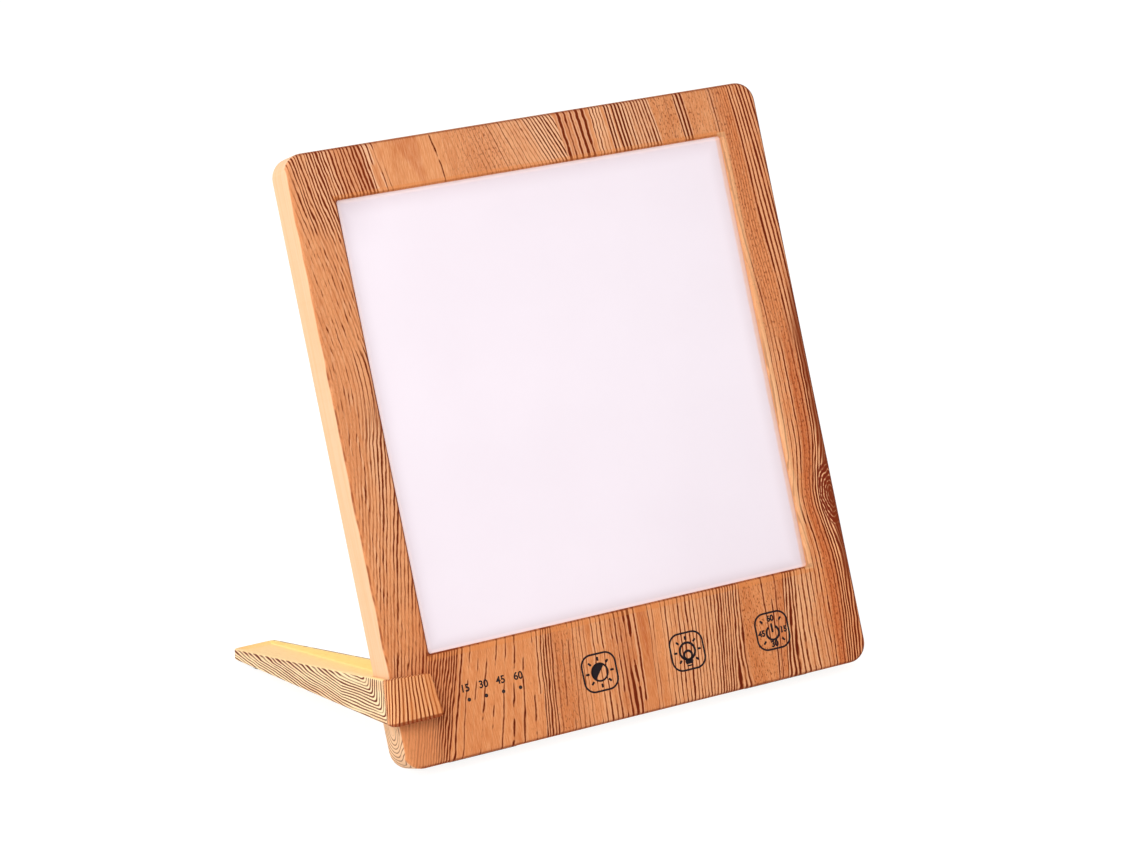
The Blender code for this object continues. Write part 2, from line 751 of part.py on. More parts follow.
# Board and what it carries
def board_place(shares):
    """A point on the board from shares of its length and height."""
    return (
        BOARD_LEFT + (board_right - BOARD_LEFT) * shares[0],
        BOARD_BOTTOM + (board_top - BOARD_BOTTOM) * shares[1],
    )


def build_main_board():
    """Circuit board with screw holes and a notch for the mid-mounted socket."""
    mesh = new_mesh()
    slab(
        mesh,
        rectangle(BOARD_LEFT, board_right, BOARD_BOTTOM, board_top, STACK_RADIUS),
        board_front,
        board_back,
        FILLET_STEPS,
    )
    board = add_piece("main_board", mesh, board_green)
    cuts = new_mesh()
    for x, z in board_screw_places:
        profile = [
            (CLEARANCE_RADIUS, board_front - CUT_OVERRUN),
            (CLEARANCE_RADIUS, board_back + CUT_OVERRUN),
        ]
        turned(cuts, x, z, profile)
    half = JACK_BODY / 2 + SEAT_GAP
    block(
        cuts,
        (jack_x - half, board_front - CUT_OVERRUN, jack_z - half),
        (board_right + CUT_OVERRUN, board_back + CUT_OVERRUN, jack_z + half),
    )
    combine(board, cuts, "DIFFERENCE")


def add_package(name, place, length, width, height, material):
    """A moulded package on the back of the board, with its top edges chamfered."""
    x, z = place
    corners = rectangle(x - length / 2, x + length / 2, z - width / 2, z + width / 2, PART_EDGE_BEVEL)
    whole = rounded_outline(corners, 0, 2)
    small = rounded_outline(corners, PART_EDGE_BEVEL / 2, 2)
    mesh = new_mesh()
    rings = [
        at_depth(whole, parts_front),
        at_depth(whole, parts_front + height - PART_EDGE_BEVEL),
        at_depth(small, parts_front + height),
    ]
    loft(mesh, rings, "ends")
    return add_piece(name, mesh, material)


def build_board_parts():
    """Chips, inductor, capacitor and the two strip connectors."""
    add_package("controller_chip", board_place(CHIP_PLACE_SHARES), CHIP_SIDE, CHIP_SIDE, CHIP_HEIGHT, chip_black)
    add_package(
        "driver_chip", board_place(DRIVER_PLACE_SHARES), DRIVER_LENGTH, DRIVER_WIDTH, DRIVER_HEIGHT, chip_black
    )
    add_package(
        "inductor", board_place(INDUCTOR_PLACE_SHARES), INDUCTOR_SIDE, INDUCTOR_SIDE, INDUCTOR_HEIGHT, ferrite
    )
    x, z = board_place(CAPACITOR_PLACE_SHARES)
    mesh = new_mesh()
    top = parts_front + CAPACITOR_HEIGHT
    profile = [
        (CAPACITOR_RADIUS, parts_front),
        (CAPACITOR_RADIUS, top - PART_EDGE_BEVEL),
        (CAPACITOR_RADIUS - PART_EDGE_BEVEL, top),
    ]
    turned(mesh, x, z, profile)
    add_piece("capacitor", mesh, can_aluminium)
    for name, shares, outwards in (
        ("connector_left", CONNECTOR_LEFT_PLACE_SHARES, -1),
        ("connector_right", CONNECTOR_RIGHT_PLACE_SHARES, 1),
    ):
        place = board_place(shares)
        shell = add_package(name, place, CONNECTOR_LENGTH, CONNECTOR_WIDTH, CONNECTOR_HEIGHT, connector_ivory)
        end = place[0] + outwards * CONNECTOR_LENGTH / 2
        inner = end - outwards * CONNECTOR_SOCKET
        middle = parts_front + CONNECTOR_HEIGHT / 2
        reach = LEAD_RADIUS + SEAT_GAP
        socket = new_mesh()
        block(
            socket,
            (min(inner, end + outwards * CUT_OVERRUN), middle - reach, place[1] - reach),
            (max(inner, end + outwards * CUT_OVERRUN), middle + reach, place[1] + reach),
        )
        combine(shell, socket, "DIFFERENCE")


def build_leads():
    """The two leads, from their connectors round the light stack's corners to the strips' lower ends."""
    y = parts_front + CONNECTOR_HEIGHT / 2
    strip_y = (strip_front + strip_back) / 2
    strip_x = led_reach - STRIP_THICKNESS / 2
    strip_z = strip_bottom - SEAT_GAP
    for name, place, shares, edge, outwards in (
        ("lead_left", CONNECTOR_LEFT_PLACE_SHARES, LEAD_LEFT_SHARES, stack_left, -1),
        ("lead_right", CONNECTOR_RIGHT_PLACE_SHARES, LEAD_RIGHT_SHARES, stack_right, 1),
    ):
        x, z = board_place(place)
        start = x + outwards * (CONNECTOR_LENGTH / 2 - CONNECTOR_SOCKET + SEAT_GAP)
        run = edge + outwards * strip_x - start
        stations = [
            Vector((start + run * across, y + (strip_y - y) * forward, z + (strip_z - z) * up))
            for across, forward, up in shares
        ]
        add_cord(name, smooth_run(stations, LEAD_POINTS), LEAD_RADIUS, LEAD_SIDES_RESOLUTION, lead_red)


def build_dc_socket():
    """Mid-mounted barrel socket: square body, round nose in the cover's hole, bore with a centre pin."""
    rear = PANEL_DEPTH - JACK_NOSE_SUNK
    shoulder = cover_front - SEAT_GAP
    bore_floor = rear - JACK_BORE_DEPTH
    front = bore_floor - JACK_FLOOR
    half = JACK_BODY / 2
    mesh = new_mesh()
    block(mesh, (jack_x - half, front, jack_z - half), (jack_x + half, shoulder, jack_z + half))
    socket = add_piece("dc_socket", mesh, socket_black)
    joined = new_mesh()
    turned(joined, jack_x, jack_z, [(JACK_NOSE_RADIUS, bore_floor), (JACK_NOSE_RADIUS, rear)], JACK_STEPS)
    combine(socket, joined, "UNION")
    tabs = new_mesh()
    tab_front = parts_front
    for side in (-1, 1):
        near, far = jack_z + side * (half - SEAT_GAP), jack_z + side * (half + JACK_TAB)
        block(
            tabs,
            (jack_x - half + SEAT_GAP, tab_front, min(near, far)),
            (jack_x - half / 4, tab_front + JACK_TAB_THICKNESS, max(near, far)),
        )
    combine(socket, tabs, "UNION")
    bore = new_mesh()
    stations = [
        (JACK_PIN_RADIUS, rear - JACK_PIN_SUNK),
        (JACK_PIN_RADIUS, bore_floor),
        (JACK_BORE_RADIUS, bore_floor),
        (JACK_BORE_RADIUS, rear + CUT_OVERRUN),
    ]
    rings = [circle(jack_x, jack_z, radius, depth_into, JACK_STEPS) for radius, depth_into in stations]
    loft(bore, rings, "ends")
    combine(socket, bore, "DIFFERENCE")


def build_touch_springs():
    """A coil between the board and the bezel behind each touch key."""
    low = FACE + SEAT_GAP + SPRING_WIRE_RADIUS
    high = board_front - SEAT_GAP - SPRING_WIRE_RADIUS
    for name, x in zip(("light", "colour", "timer"), key_columns):
        points = []
        for n in range(SPRING_TURNS * SPRING_STEPS + 1):
            turn = n / SPRING_STEPS
            climb = min(1, max(0, (turn - SPRING_FLAT_TURNS) / (SPRING_TURNS - 2 * SPRING_FLAT_TURNS)))
            angle = 2 * math.pi * turn
            radius = SPRING_RADIUS * (1 - SPRING_TAPER_SHARE * climb)
            across, up = radius * math.cos(angle), radius * math.sin(angle)
            points.append(Vector((x + across, high + (low - high) * climb, KEY_ROW_HEIGHT + up)))
        add_cord("touch_spring_" + name, points, SPRING_WIRE_RADIUS, SPRING_SIDES_RESOLUTION, spring_steel)


def build_indicators():
    """One clear moulding whose four pins reach through the bezel, and an LED behind each pin."""
    front = FACE + SEAT_GAP
    back = front + PIPE_DEPTH
    mesh = new_mesh()
    corners = rectangle(
        indicator_columns[0] - PIPE_END,
        indicator_columns[-1] + PIPE_END,
        INDICATOR_HEIGHT - PIPE_HEIGHT / 2,
        INDICATOR_HEIGHT + PIPE_HEIGHT / 2,
        PIPE_HEIGHT / 4,
    )
    slab(mesh, corners, front, back, FILLET_STEPS)
    pipe = add_piece("indicator_light_pipe", mesh, clear_pipe)
    pins = new_mesh()
    for x in indicator_columns:
        turned(pins, x, INDICATOR_HEIGHT, [(PIPE_PIN_RADIUS, PIPE_PIN_SUNK), (PIPE_PIN_RADIUS, back - SEAT_GAP)])
    combine(pipe, pins, "UNION")
    for n, x in enumerate(indicator_columns, 1):
        mesh = new_mesh()
        led_back = board_front - SEAT_GAP
        block(
            mesh,
            (x - CHIP_LED_LENGTH / 2, led_back - CHIP_LED_DEPTH, INDICATOR_HEIGHT - CHIP_LED_HEIGHT / 2),
            (x + CHIP_LED_LENGTH / 2, led_back, INDICATOR_HEIGHT + CHIP_LED_HEIGHT / 2),
        )
        add_piece(f"indicator_led_{n}", mesh, led_amber)


# Fasteners
def add_screw(name, x, z, seat, length):
    """Pan-head screw, driven from the back; seat is the depth its head bears at."""
    mesh = new_mesh()
    profile = [
        (SHANK_RADIUS / 2, seat - length),
        (SHANK_RADIUS, seat - length + SHANK_RADIUS),
        (SHANK_RADIUS, seat),
        (HEAD_RADIUS, seat),
        (HEAD_RADIUS, seat + HEAD_HEIGHT - HEAD_CHAMFER),
        (HEAD_RADIUS - HEAD_CHAMFER, seat + HEAD_HEIGHT),
    ]
    turned(mesh, x, z, profile, ROUND_STEPS)
    add_piece(name, mesh, zinc)


def build_screws():
    """Cover, plate and board screws in their bosses."""
    for n, (x, z) in enumerate(cover_screw_places, 1):
        add_screw(f"cover_screw_{n}", x, z, head_seat, SCREW_LENGTH)
    for n, (x, z) in enumerate(plate_screw_places, 1):
        add_screw(f"plate_screw_{n}", x, z, plate_back + SEAT_GAP, SHORT_SCREW_LENGTH)
    for n, (x, z) in enumerate(board_screw_places, 1):
        add_screw(f"board_screw_{n}", x, z, board_back + SEAT_GAP, SHORT_SCREW_LENGTH)


# Feet
def build_panel_feet():
    """Rubber pads under the flat land along the bottom rear edge."""
    land_y = PANEL_DEPTH - FOOT_LAND_WIDTH * lean_cosine / 2
    land_z = ground_height(land_y, land_depth)
    down = SEAT_GAP + FOOT_THICKNESS
    for name, left in zip(("panel_foot_left", "panel_foot_right"), foot_lefts):
        corners = rectangle(left, left + FOOT_LENGTH, -FOOT_WIDTH / 2, FOOT_WIDTH / 2, FOOT_CORNER_RADIUS)
        outline = rounded_outline(corners, 0, FILLET_STEPS)
        rings = []
        for drop in (SEAT_GAP, down):
            rings.append(
                [
                    (x, land_y + a * lean_cosine + drop * lean_sine, land_z + a * lean_sine - drop * lean_cosine)
                    for x, a in outline
                ]
            )
        mesh = new_mesh()
        loft(mesh, rings, "ends")
        add_piece(name, mesh, rubber)


# Stand
def plan_ring(outline, height, rise):
    """A plan outline lifted onto a surface given by its height at each depth."""
    return [(x, y, height(y) + rise) for x, y in outline]


def jaw_corners(flared):
    """Plan corners of the leg, anticlockwise from above: jaw, slot and far end."""
    front = -SEAT_GAP - LUG_THICKNESS - flared * stand_flare(0)
    end = STAND_LENGTH + flared * stand_flare(STAND_LENGTH)
    lug_end = LUG_REACH + flared * stand_flare(0)
    near_front = -JAW_OUTSIDE - flared * stand_flare(0)
    near_end = -JAW_OUTSIDE - flared * stand_flare(STAND_LENGTH)
    far_front = STAND_FAR_SIDE + flared * stand_flare(0)
    far_end = STAND_FAR_SIDE + flared * stand_flare(STAND_LENGTH)
    return [
        (near_front, front, JAW_CORNER_RADIUS),
        (lug_end, front, JAW_EDGE_RADIUS),
        (lug_end, -SEAT_GAP, JAW_EDGE_RADIUS),
        (-SEAT_GAP, -SEAT_GAP, SLOT_CORNER_RADIUS),
        (-SEAT_GAP, slot_back, SLOT_CORNER_RADIUS),
        (far_front, slot_back, JAW_EDGE_RADIUS),
        (far_end, end, STAND_END_RADIUS),
        (near_end, end, STAND_END_RADIUS),
    ]


def lug_fall_outline():
    """Outline of the cut that lets the lug's top edge fall outwards and rounds its upper corner."""
    top, reach = stand_top(0), LUG_REACH
    fall, draft, radius = LUG_TOP_FALL_SLOPE, STAND_DRAFT_SLOPE, LUG_TOP_CORNER_RADIUS
    level = top - radius * math.hypot(1, fall)
    side = reach - radius * math.hypot(1, draft)
    centre_x = (side + draft * (top - level - fall * LUG_TOP_FALL_START)) / (1 - draft * fall)
    centre_z = level - fall * (centre_x - LUG_TOP_FALL_START)
    first, last = math.atan2(1, fall), math.atan2(draft, 1)
    outline = []
    for step in range(STAND_CORNER_STEPS + 1):
        angle = first + (last - first) * step / STAND_CORNER_STEPS
        outline.append((centre_x + radius * math.cos(angle), centre_z + radius * math.sin(angle)))
    side_x, side_z = outline[-1]
    outline.append((side_x + CUT_OVERRUN, side_z + draft * CUT_OVERRUN))
    outline.append((side_x + CUT_OVERRUN, top + CUT_OVERRUN))
    outline.append((LUG_TOP_FALL_START, top + CUT_OVERRUN))
    outline.append((LUG_TOP_FALL_START / 2, top + fall * LUG_TOP_FALL_START / 2))
    outline.reverse()
    return outline


def build_stand_leg():
    """The leg as one drafted loft with rounded rims, then its tray, cores, foot pocket and lug corner."""
    rings = []
    for step in range(STAND_EDGE_STEPS + 1):
        angle = math.radians(90) * step / STAND_EDGE_STEPS
        outline = rounded_outline(jaw_corners(0), STAND_EDGE_ROUND * (1 - math.sin(angle)), STAND_CORNER_STEPS)
        rings.append(plan_ring(outline, stand_top, -STAND_EDGE_ROUND * (1 - math.cos(angle))))
    for step in range(STAND_EDGE_STEPS + 1):
        angle = math.radians(90) * step / STAND_EDGE_STEPS
        outline = rounded_outline(jaw_corners(1), STAND_EDGE_ROUND * (1 - math.cos(angle)), STAND_CORNER_STEPS)
        rings.append(plan_ring(outline, stand_bottom, STAND_EDGE_ROUND * (1 - math.sin(angle))))
    mesh = new_mesh()
    loft(mesh, rings, "ends")
    leg = add_piece("stand_leg", mesh, wood_print, stand_slide)

    near, far = -JAW_OUTSIDE + TRAY_WALL, STAND_FAR_SIDE - TRAY_WALL
    tray_corners = rectangle(near, far, tray_start, tray_end, STAND_END_RADIUS - TRAY_WALL)
    tray = new_mesh()
    rings = []
    for step in range(STAND_EDGE_STEPS + 1):
        angle = math.radians(90) * step / STAND_EDGE_STEPS
        outline = rounded_outline(tray_corners, TRAY_FLOOR_ROUND * (1 - math.sin(angle)), STAND_CORNER_STEPS)
        rings.append(plan_ring(outline, tray_floor, TRAY_FLOOR_ROUND * (1 - math.cos(angle))))
    rings.append(plan_ring(rounded_outline(tray_corners, 0, STAND_CORNER_STEPS), stand_top, CUT_OVERRUN))
    loft(tray, rings, "ends")
    combine(leg, tray, "DIFFERENCE")

    cores = new_mesh()
    core_end = STAND_LENGTH * CORE_LAST_SHARE
    pitch = (core_end - tray_start + CORE_RIB) / CORE_COUNT
    for n in range(CORE_COUNT):
        start = tray_start + pitch * n
        corners = rectangle(near, far, start, start + pitch - CORE_RIB, CORE_CORNER_RADIUS)
        outline = rounded_outline(corners, 0, FILLET_STEPS)
        rings = [plan_ring(outline, tray_floor, -CORE_WEB), plan_ring(outline, stand_bottom, -CUT_OVERRUN)]
        loft(cores, rings, "ends")
    combine(leg, cores, "DIFFERENCE")

    pocket = new_mesh()
    outline = rounded_outline(stand_foot_corners(), -SEAT_GAP, FILLET_STEPS)
    loft(
        pocket,
        [plan_ring(outline, stand_bottom, STAND_FOOT_POCKET), plan_ring(outline, stand_bottom, -CUT_OVERRUN)],
        "ends",
    )
    combine(leg, pocket, "DIFFERENCE")

    corner = new_mesh()
    outline = []
    lug_end = LUG_REACH + stand_flare(0)
    centre_x, centre_z = lug_end - LUG_CORNER_RADIUS, stand_bottom(0) + LUG_CORNER_RADIUS
    for step in range(STAND_CORNER_STEPS + 1):
        angle = math.radians(90) * step / STAND_CORNER_STEPS
        outline.append(
            (centre_x + LUG_CORNER_RADIUS * math.sin(angle), centre_z - LUG_CORNER_RADIUS * math.cos(angle))
        )
    outline.append((lug_end + CUT_OVERRUN, centre_z))
    outline.append((lug_end + CUT_OVERRUN, stand_bottom(0) - CUT_OVERRUN))
    outline.append((centre_x, stand_bottom(0) - CUT_OVERRUN))
    ends = (-LUG_THICKNESS - CUT_OVERRUN, slot_back / 2)
    loft(corner, [[(x, y, z + stand_bottom_slope * y) for x, z in outline] for y in ends], "ends")
    combine(leg, corner, "DIFFERENCE")

    fall = new_mesh()
    outline = lug_fall_outline()
    loft(fall, [[(x, y, z + stand_top_slope * y) for x, z in outline] for y in ends], "ends")
    combine(leg, fall, "DIFFERENCE")


def stand_foot_corners():
    """Plan corners of the rubber foot at the leg's far end."""
    near, far = -JAW_OUTSIDE + STAND_FOOT_SIDE_INSET, STAND_FAR_SIDE - STAND_FOOT_SIDE_INSET
    end = STAND_LENGTH - STAND_FOOT_END_INSET
    return rectangle(near, far, end - STAND_FOOT_LENGTH, end, STAND_FOOT_CORNER)


def build_stand_foot():
    """Rubber wedge let into the leg's underside, with its own underside level on the ground."""
    outline = rounded_outline(stand_foot_corners(), 0, FILLET_STEPS)
    mesh = new_mesh()
    loft(
        mesh,
        [
            plan_ring(outline, stand_bottom, STAND_FOOT_POCKET - SEAT_GAP),
            [(x, y, ground_height(y, ground_depth)) for x, y in outline],
        ],
        "ends",
    )
    add_piece("stand_foot", mesh, rubber, stand_slide)


def stand_on_ground():
    """Leans the frame back and puts the middle of the lamp's base at the origin."""
    lamp_frame.rotation_euler = (-PANEL_LEAN, 0, 0)
    bpy.context.view_layer.update()
    graph = bpy.context.evaluated_depsgraph_get()
    points = []
    for shown in bpy.context.scene.objects:
        if shown.type in {"MESH", "CURVE"} and not shown.hide_render:
            solid = shown.evaluated_get(graph)
            data = solid.to_mesh()
            points.extend(solid.matrix_world @ vertex.co for vertex in data.vertices)
            solid.to_mesh_clear()
    low = [min(point[axis] for point in points) for axis in range(3)]
    high = [max(point[axis] for point in points) for axis in range(3)]
    lamp_frame.location = (-(low[0] + high[0]) / 2, -(low[1] + high[1]) / 2, -low[2])


build_front_frame()
build_rear_cover()
build_light_stack()
build_back_plate()
build_led_strips()
build_main_board()
build_board_parts()
build_leads()
build_dc_socket()
build_touch_springs()
build_indicators()
build_screws()
build_panel_feet()
build_stand_leg()
build_stand_foot()
stand_on_ground()
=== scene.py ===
"""Looks of the light therapy lamp: a leaning panel with a wood-print bezel, an opal window,
printed touch keys and a clip-on leg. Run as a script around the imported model."""

import math

import bpy
from mathutils import Matrix, Vector


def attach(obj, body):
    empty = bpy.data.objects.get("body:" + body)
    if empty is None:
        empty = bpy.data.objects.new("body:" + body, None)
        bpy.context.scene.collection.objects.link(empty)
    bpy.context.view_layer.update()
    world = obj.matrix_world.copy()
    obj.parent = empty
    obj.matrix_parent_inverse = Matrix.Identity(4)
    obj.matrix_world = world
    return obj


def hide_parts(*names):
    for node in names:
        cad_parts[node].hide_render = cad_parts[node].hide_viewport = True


bl_info = {
    "name": "Light therapy lamp",
    "version": (1, 0, 0),
    "blender": (4, 5, 0),
    "location": "3D View > Sidebar > Lamp",
    "description": "Builds the finishes, prints and fasteners of a leaning light panel",
    "category": "Object",
}

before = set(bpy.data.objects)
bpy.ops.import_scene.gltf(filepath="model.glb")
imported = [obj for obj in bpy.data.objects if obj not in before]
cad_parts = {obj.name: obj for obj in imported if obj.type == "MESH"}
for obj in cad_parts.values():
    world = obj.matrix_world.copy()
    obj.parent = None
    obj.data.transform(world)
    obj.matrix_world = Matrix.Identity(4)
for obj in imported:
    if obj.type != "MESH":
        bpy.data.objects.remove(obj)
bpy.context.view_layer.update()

# The panel's own directions, in millimetres: x along its width, y into its depth, z up its face.
MM = 0.001
PANEL_LEAN = math.radians(17.5)
PANEL_CORNER = Vector((-0.100631, -0.087379, 0.005))
PANEL_PLACE = Matrix.Translation(PANEL_CORNER) @ Matrix.Rotation(-PANEL_LEAN, 4, "X")
PANEL_TURN = (-PANEL_LEAN, 0.0, 0.0)
PANEL_HEIGHT = 238.0
WINDOW_LEFT, WINDOW_RIGHT, WINDOW_BOTTOM, WINDOW_TOP = 18.6, 186.4, 42.0, 218.0

# Printed keys and numbers: places along the panel, and rows above its bottom edge
KEYS = {"light": 86.7, "colour": 125.6, "timer": 164.3}
KEY_ROW = 20.1
INDICATORS = {"15": 30.7, "30": 38.0, "45": 45.3, "60": 52.6}
NUMBER_ROW = 26.1
NUMBER_SHIFT = {"15": -0.8, "30": -0.3, "45": -0.3, "60": -0.1}
NUMBER_BREADTH = 0.95
NUMBER_BOLDNESS = 0.035
DIAL_NUMBERS = {"60": (0.0, 4.9), "15": (5.0, -0.5), "30": (0.0, -5.4), "45": (-4.95, -0.5)}
DIAL_HEIGHT = 2.4
DIAL_BOLDNESS = 0.07
DOT_ROW = 21.6
DOT_RADIUS = 0.6
DOT_LINE = 0.28
DOT_SIDES = 24
# How deep the underside of a print lies in the face
INK_SINK = 0.01
# Height of a figure as a share of its type size, and a stroke's corners as a share of its width
FIGURE_SHARE = 0.73
CORNER_SHARE = 0.3
QUARTER_TURN = math.radians(90)
FLAT_TURN = (QUARTER_TURN, 0.0, 0.0)

# Signs on the keys. Rays are (distance, length, share of the print line, angles), and the strokes
# of the bulb's base are (length, height, share of the print line).
BRIGHTNESS_RADIUS = 3.4
BRIGHTNESS_SLANT = math.radians(40)
BRIGHTNESS_RAYS = (5.3, 1.6, 1.15, range(0, 360, 45))
BULB_RADIUS = 3.35
BULB_LINE_SHARE = 1.25
BULB_BASE = ((3.6, -4.0, 1.2), (3.2, -4.6, 1.2), (2.7, -5.7, 0.75))
BULB_RAYS = (5.25, 1.55, 1.15, (0, 45, 90, 135, 225, 270, 315))
FILAMENT_RADIUS = 1.75
FILAMENT_DROP = 1.65
FILAMENT_LINE_SHARE = 1.3
POWER_RADIUS = 2.78
POWER_DROP = 0.85
POWER_GAP = math.radians(33)
POWER_LINE_SHARE = 1.2
POWER_STROKE_LENGTH = 3.7
POWER_STROKE_HEIGHT = 1.1
POWER_RAYS = (5.95, 1.6, 1.1, (45, 135, 225, 315))

# Screws of the rear cover
COVER_SCREWS = (
    (9.0, 9.0), (196.0, 9.0), (9.0, 229.0), (196.0, 229.0), (6.45, 130.9), (198.55, 130.9),
)
SCREW_SEAT = 15.2
SCREW_TURN_STEP = 17
HEAD_RADIUS = 2.3
HEAD_HEIGHT = 1.5
HEAD_CROWN = 0.55
SHANK_RADIUS = 1.1
SHANK_LENGTH = 6.1
SHANK_TAPER = 0.75
CROSS_ARM = (2.5, 1.8, 0.55)
CROSS_TAPER = (0.35, 1.0, 0.6)
CREASE = math.radians(32)
# How far a normal lies along an axis to face that way, and how near in metres a point on a plane is
ALONG = 0.99
NEAR = 1e-5

# Leg: heights of its lower edge and its rim at the panel's face, and their rise with depth
LEG_BOTTOM_AT_FACE = 19.0
LEG_BOTTOM_SLOPE = 0.172
LEG_RIM_AT_FACE = 36.3
LEG_RIM_SLOPE = 0.0953
LEG_LINE_PITCH = 1.15
LUG_PITCH_MORE = 0.45

# Stage, in metres: place and size of each lamp, and the point that all of them face
LAMPS = {
    "key": ((-0.9, -0.9, 1.1), 1.1),
    "side": ((-1.3, -0.1, 0.5), 0.7),
    "back": ((-0.7, 0.9, 0.9), 0.9),
}
LAMP_AIM = Vector((0.0, 0.0, 0.1))
CAMERA_PLACE = (-0.56148, -1.19584, 0.48188)
CAMERA_TURN = tuple(math.radians(angle) for angle in (73.874, 3.825, -27.039))
CAMERA_RANGE = (0.05, 30.0)
SENSOR_WIDTH = 36.0
WHITE = (1.0, 1.0, 1.0, 1.0)
FLOOR_TONE = (0.9, 0.9, 0.9)
FLOOR_SIZE = 12.0
FLOOR_DROP = 0.0001
FLOOR_GLOW = 1.2
FLOOR_GLOW_SHARE = 0.75

# How glossy the wood print, the ink and the window are
PRINT_GLOSS = {"Roughness": 0.52, "Specular_IOR_Level": 0.06}
INK_GLOSS = 0.15
WINDOW_GLOSS = 0.3


# Shading


class Wire:
    """A socket of a node. Sums and products written on it add Math nodes."""

    def __init__(self, graph, socket):
        self.graph = graph
        self.socket = socket

    def math(self, operation, *others, clamp=False):
        """A Math node with this socket as its first value."""
        return self.graph.math(operation, self, *others, clamp=clamp)

    def __add__(self, other):
        return self.math("ADD", other)

    def __radd__(self, other):
        return self.graph.math("ADD", other, self)

    def __sub__(self, other):
        return self.math("SUBTRACT", other)

    def __rsub__(self, other):
        return self.graph.math("SUBTRACT", other, self)

    def __mul__(self, other):
        return self.math("MULTIPLY", other)

    def __rmul__(self, other):
        return self.graph.math("MULTIPLY", other, self)

    def __truediv__(self, other):
        return self.math("DIVIDE", other)

    def __rtruediv__(self, other):
        return self.graph.math("DIVIDE", other, self)

    def __pow__(self, other):
        return self.math("POWER", other)

    def __abs__(self):
        return self.math("ABSOLUTE")

    def floor(self):
        return self.math("FLOOR")

    def fraction(self):
        return self.math("FRACT")

    def least(self, other):
        return self.math("MINIMUM", other)

    def most(self, other):
        return self.math("MAXIMUM", other)

    def clamped(self):
        return self.math("ADD", 0.0, clamp=True)

    def beside(self, name):
        """Another output of the node that this one comes from."""
        return Wire(self.graph, self.socket.node.outputs[name])

    def ramp(self, start, end, low=0.0, high=1.0, smooth=True):
        """From low to high while this value goes from start to end, and level outside."""
        kind = "SMOOTHSTEP" if smooth else "LINEAR"
        return self.graph.node(
            "ShaderNodeMapRange",
            {"interpolation_type": kind, "clamp": True},
            {"Value": self, "From Min": start, "From Max": end, "To Min": low, "To Max": high},
            "Result",
        )


class Graph:
    """A node tree, and the one method that adds a node to it."""

    def __init__(self, tree):
        self.tree = tree
        tree.nodes.clear()

    def add(self, kind, settings=None, sockets=()):
        """Adds a node: its settings first, then its sockets' values or links."""
        made = self.tree.nodes.new(kind)
        for key, value in (settings or {}).items():
            if key == "stops":
                self.stops(made.color_ramp, value)
            elif key == "interpolation":
                made.color_ramp.interpolation = value
            else:
                setattr(made, key, value)
        pairs = sockets.items() if isinstance(sockets, dict) else enumerate(sockets)
        for key, value in pairs:
            self.put(made.inputs[key], value)
        return made

    def node(self, kind, settings=None, sockets=(), result=0):
        """One output of a new node."""
        return Wire(self, self.add(kind, settings, sockets).outputs[result])

    def stops(self, band, stops):
        """Colour stops of a ramp, as (place, colour)."""
        while len(band.elements) > 1:
            band.elements.remove(band.elements[-1])
        band.elements[0].position, band.elements[0].color = stops[0]
        for place, colour in stops[1:]:
            band.elements.new(place).color = colour

    def put(self, socket, value):
        if isinstance(value, Wire):
            self.tree.links.new(value.socket, socket)
        else:
            socket.default_value = value

    def math(self, operation, *values, clamp=False):
        return self.node("ShaderNodeMath", {"operation": operation, "use_clamp": clamp}, values)

    def mixed(self, share, first, second):
        """One shader over another by a share."""
        return self.node("ShaderNodeMixShader", None, (share, first, second))

    def seen_directly(self):
        """One for rays from the camera, off gloss and through clear sheets, and nothing else."""
        camera = self.node("ShaderNodeLightPath", result="Is Camera Ray")
        glossy, through = camera.beside("Is Glossy Ray"), camera.beside("Is Transmission Ray")
        return camera.most(glossy).most(through)


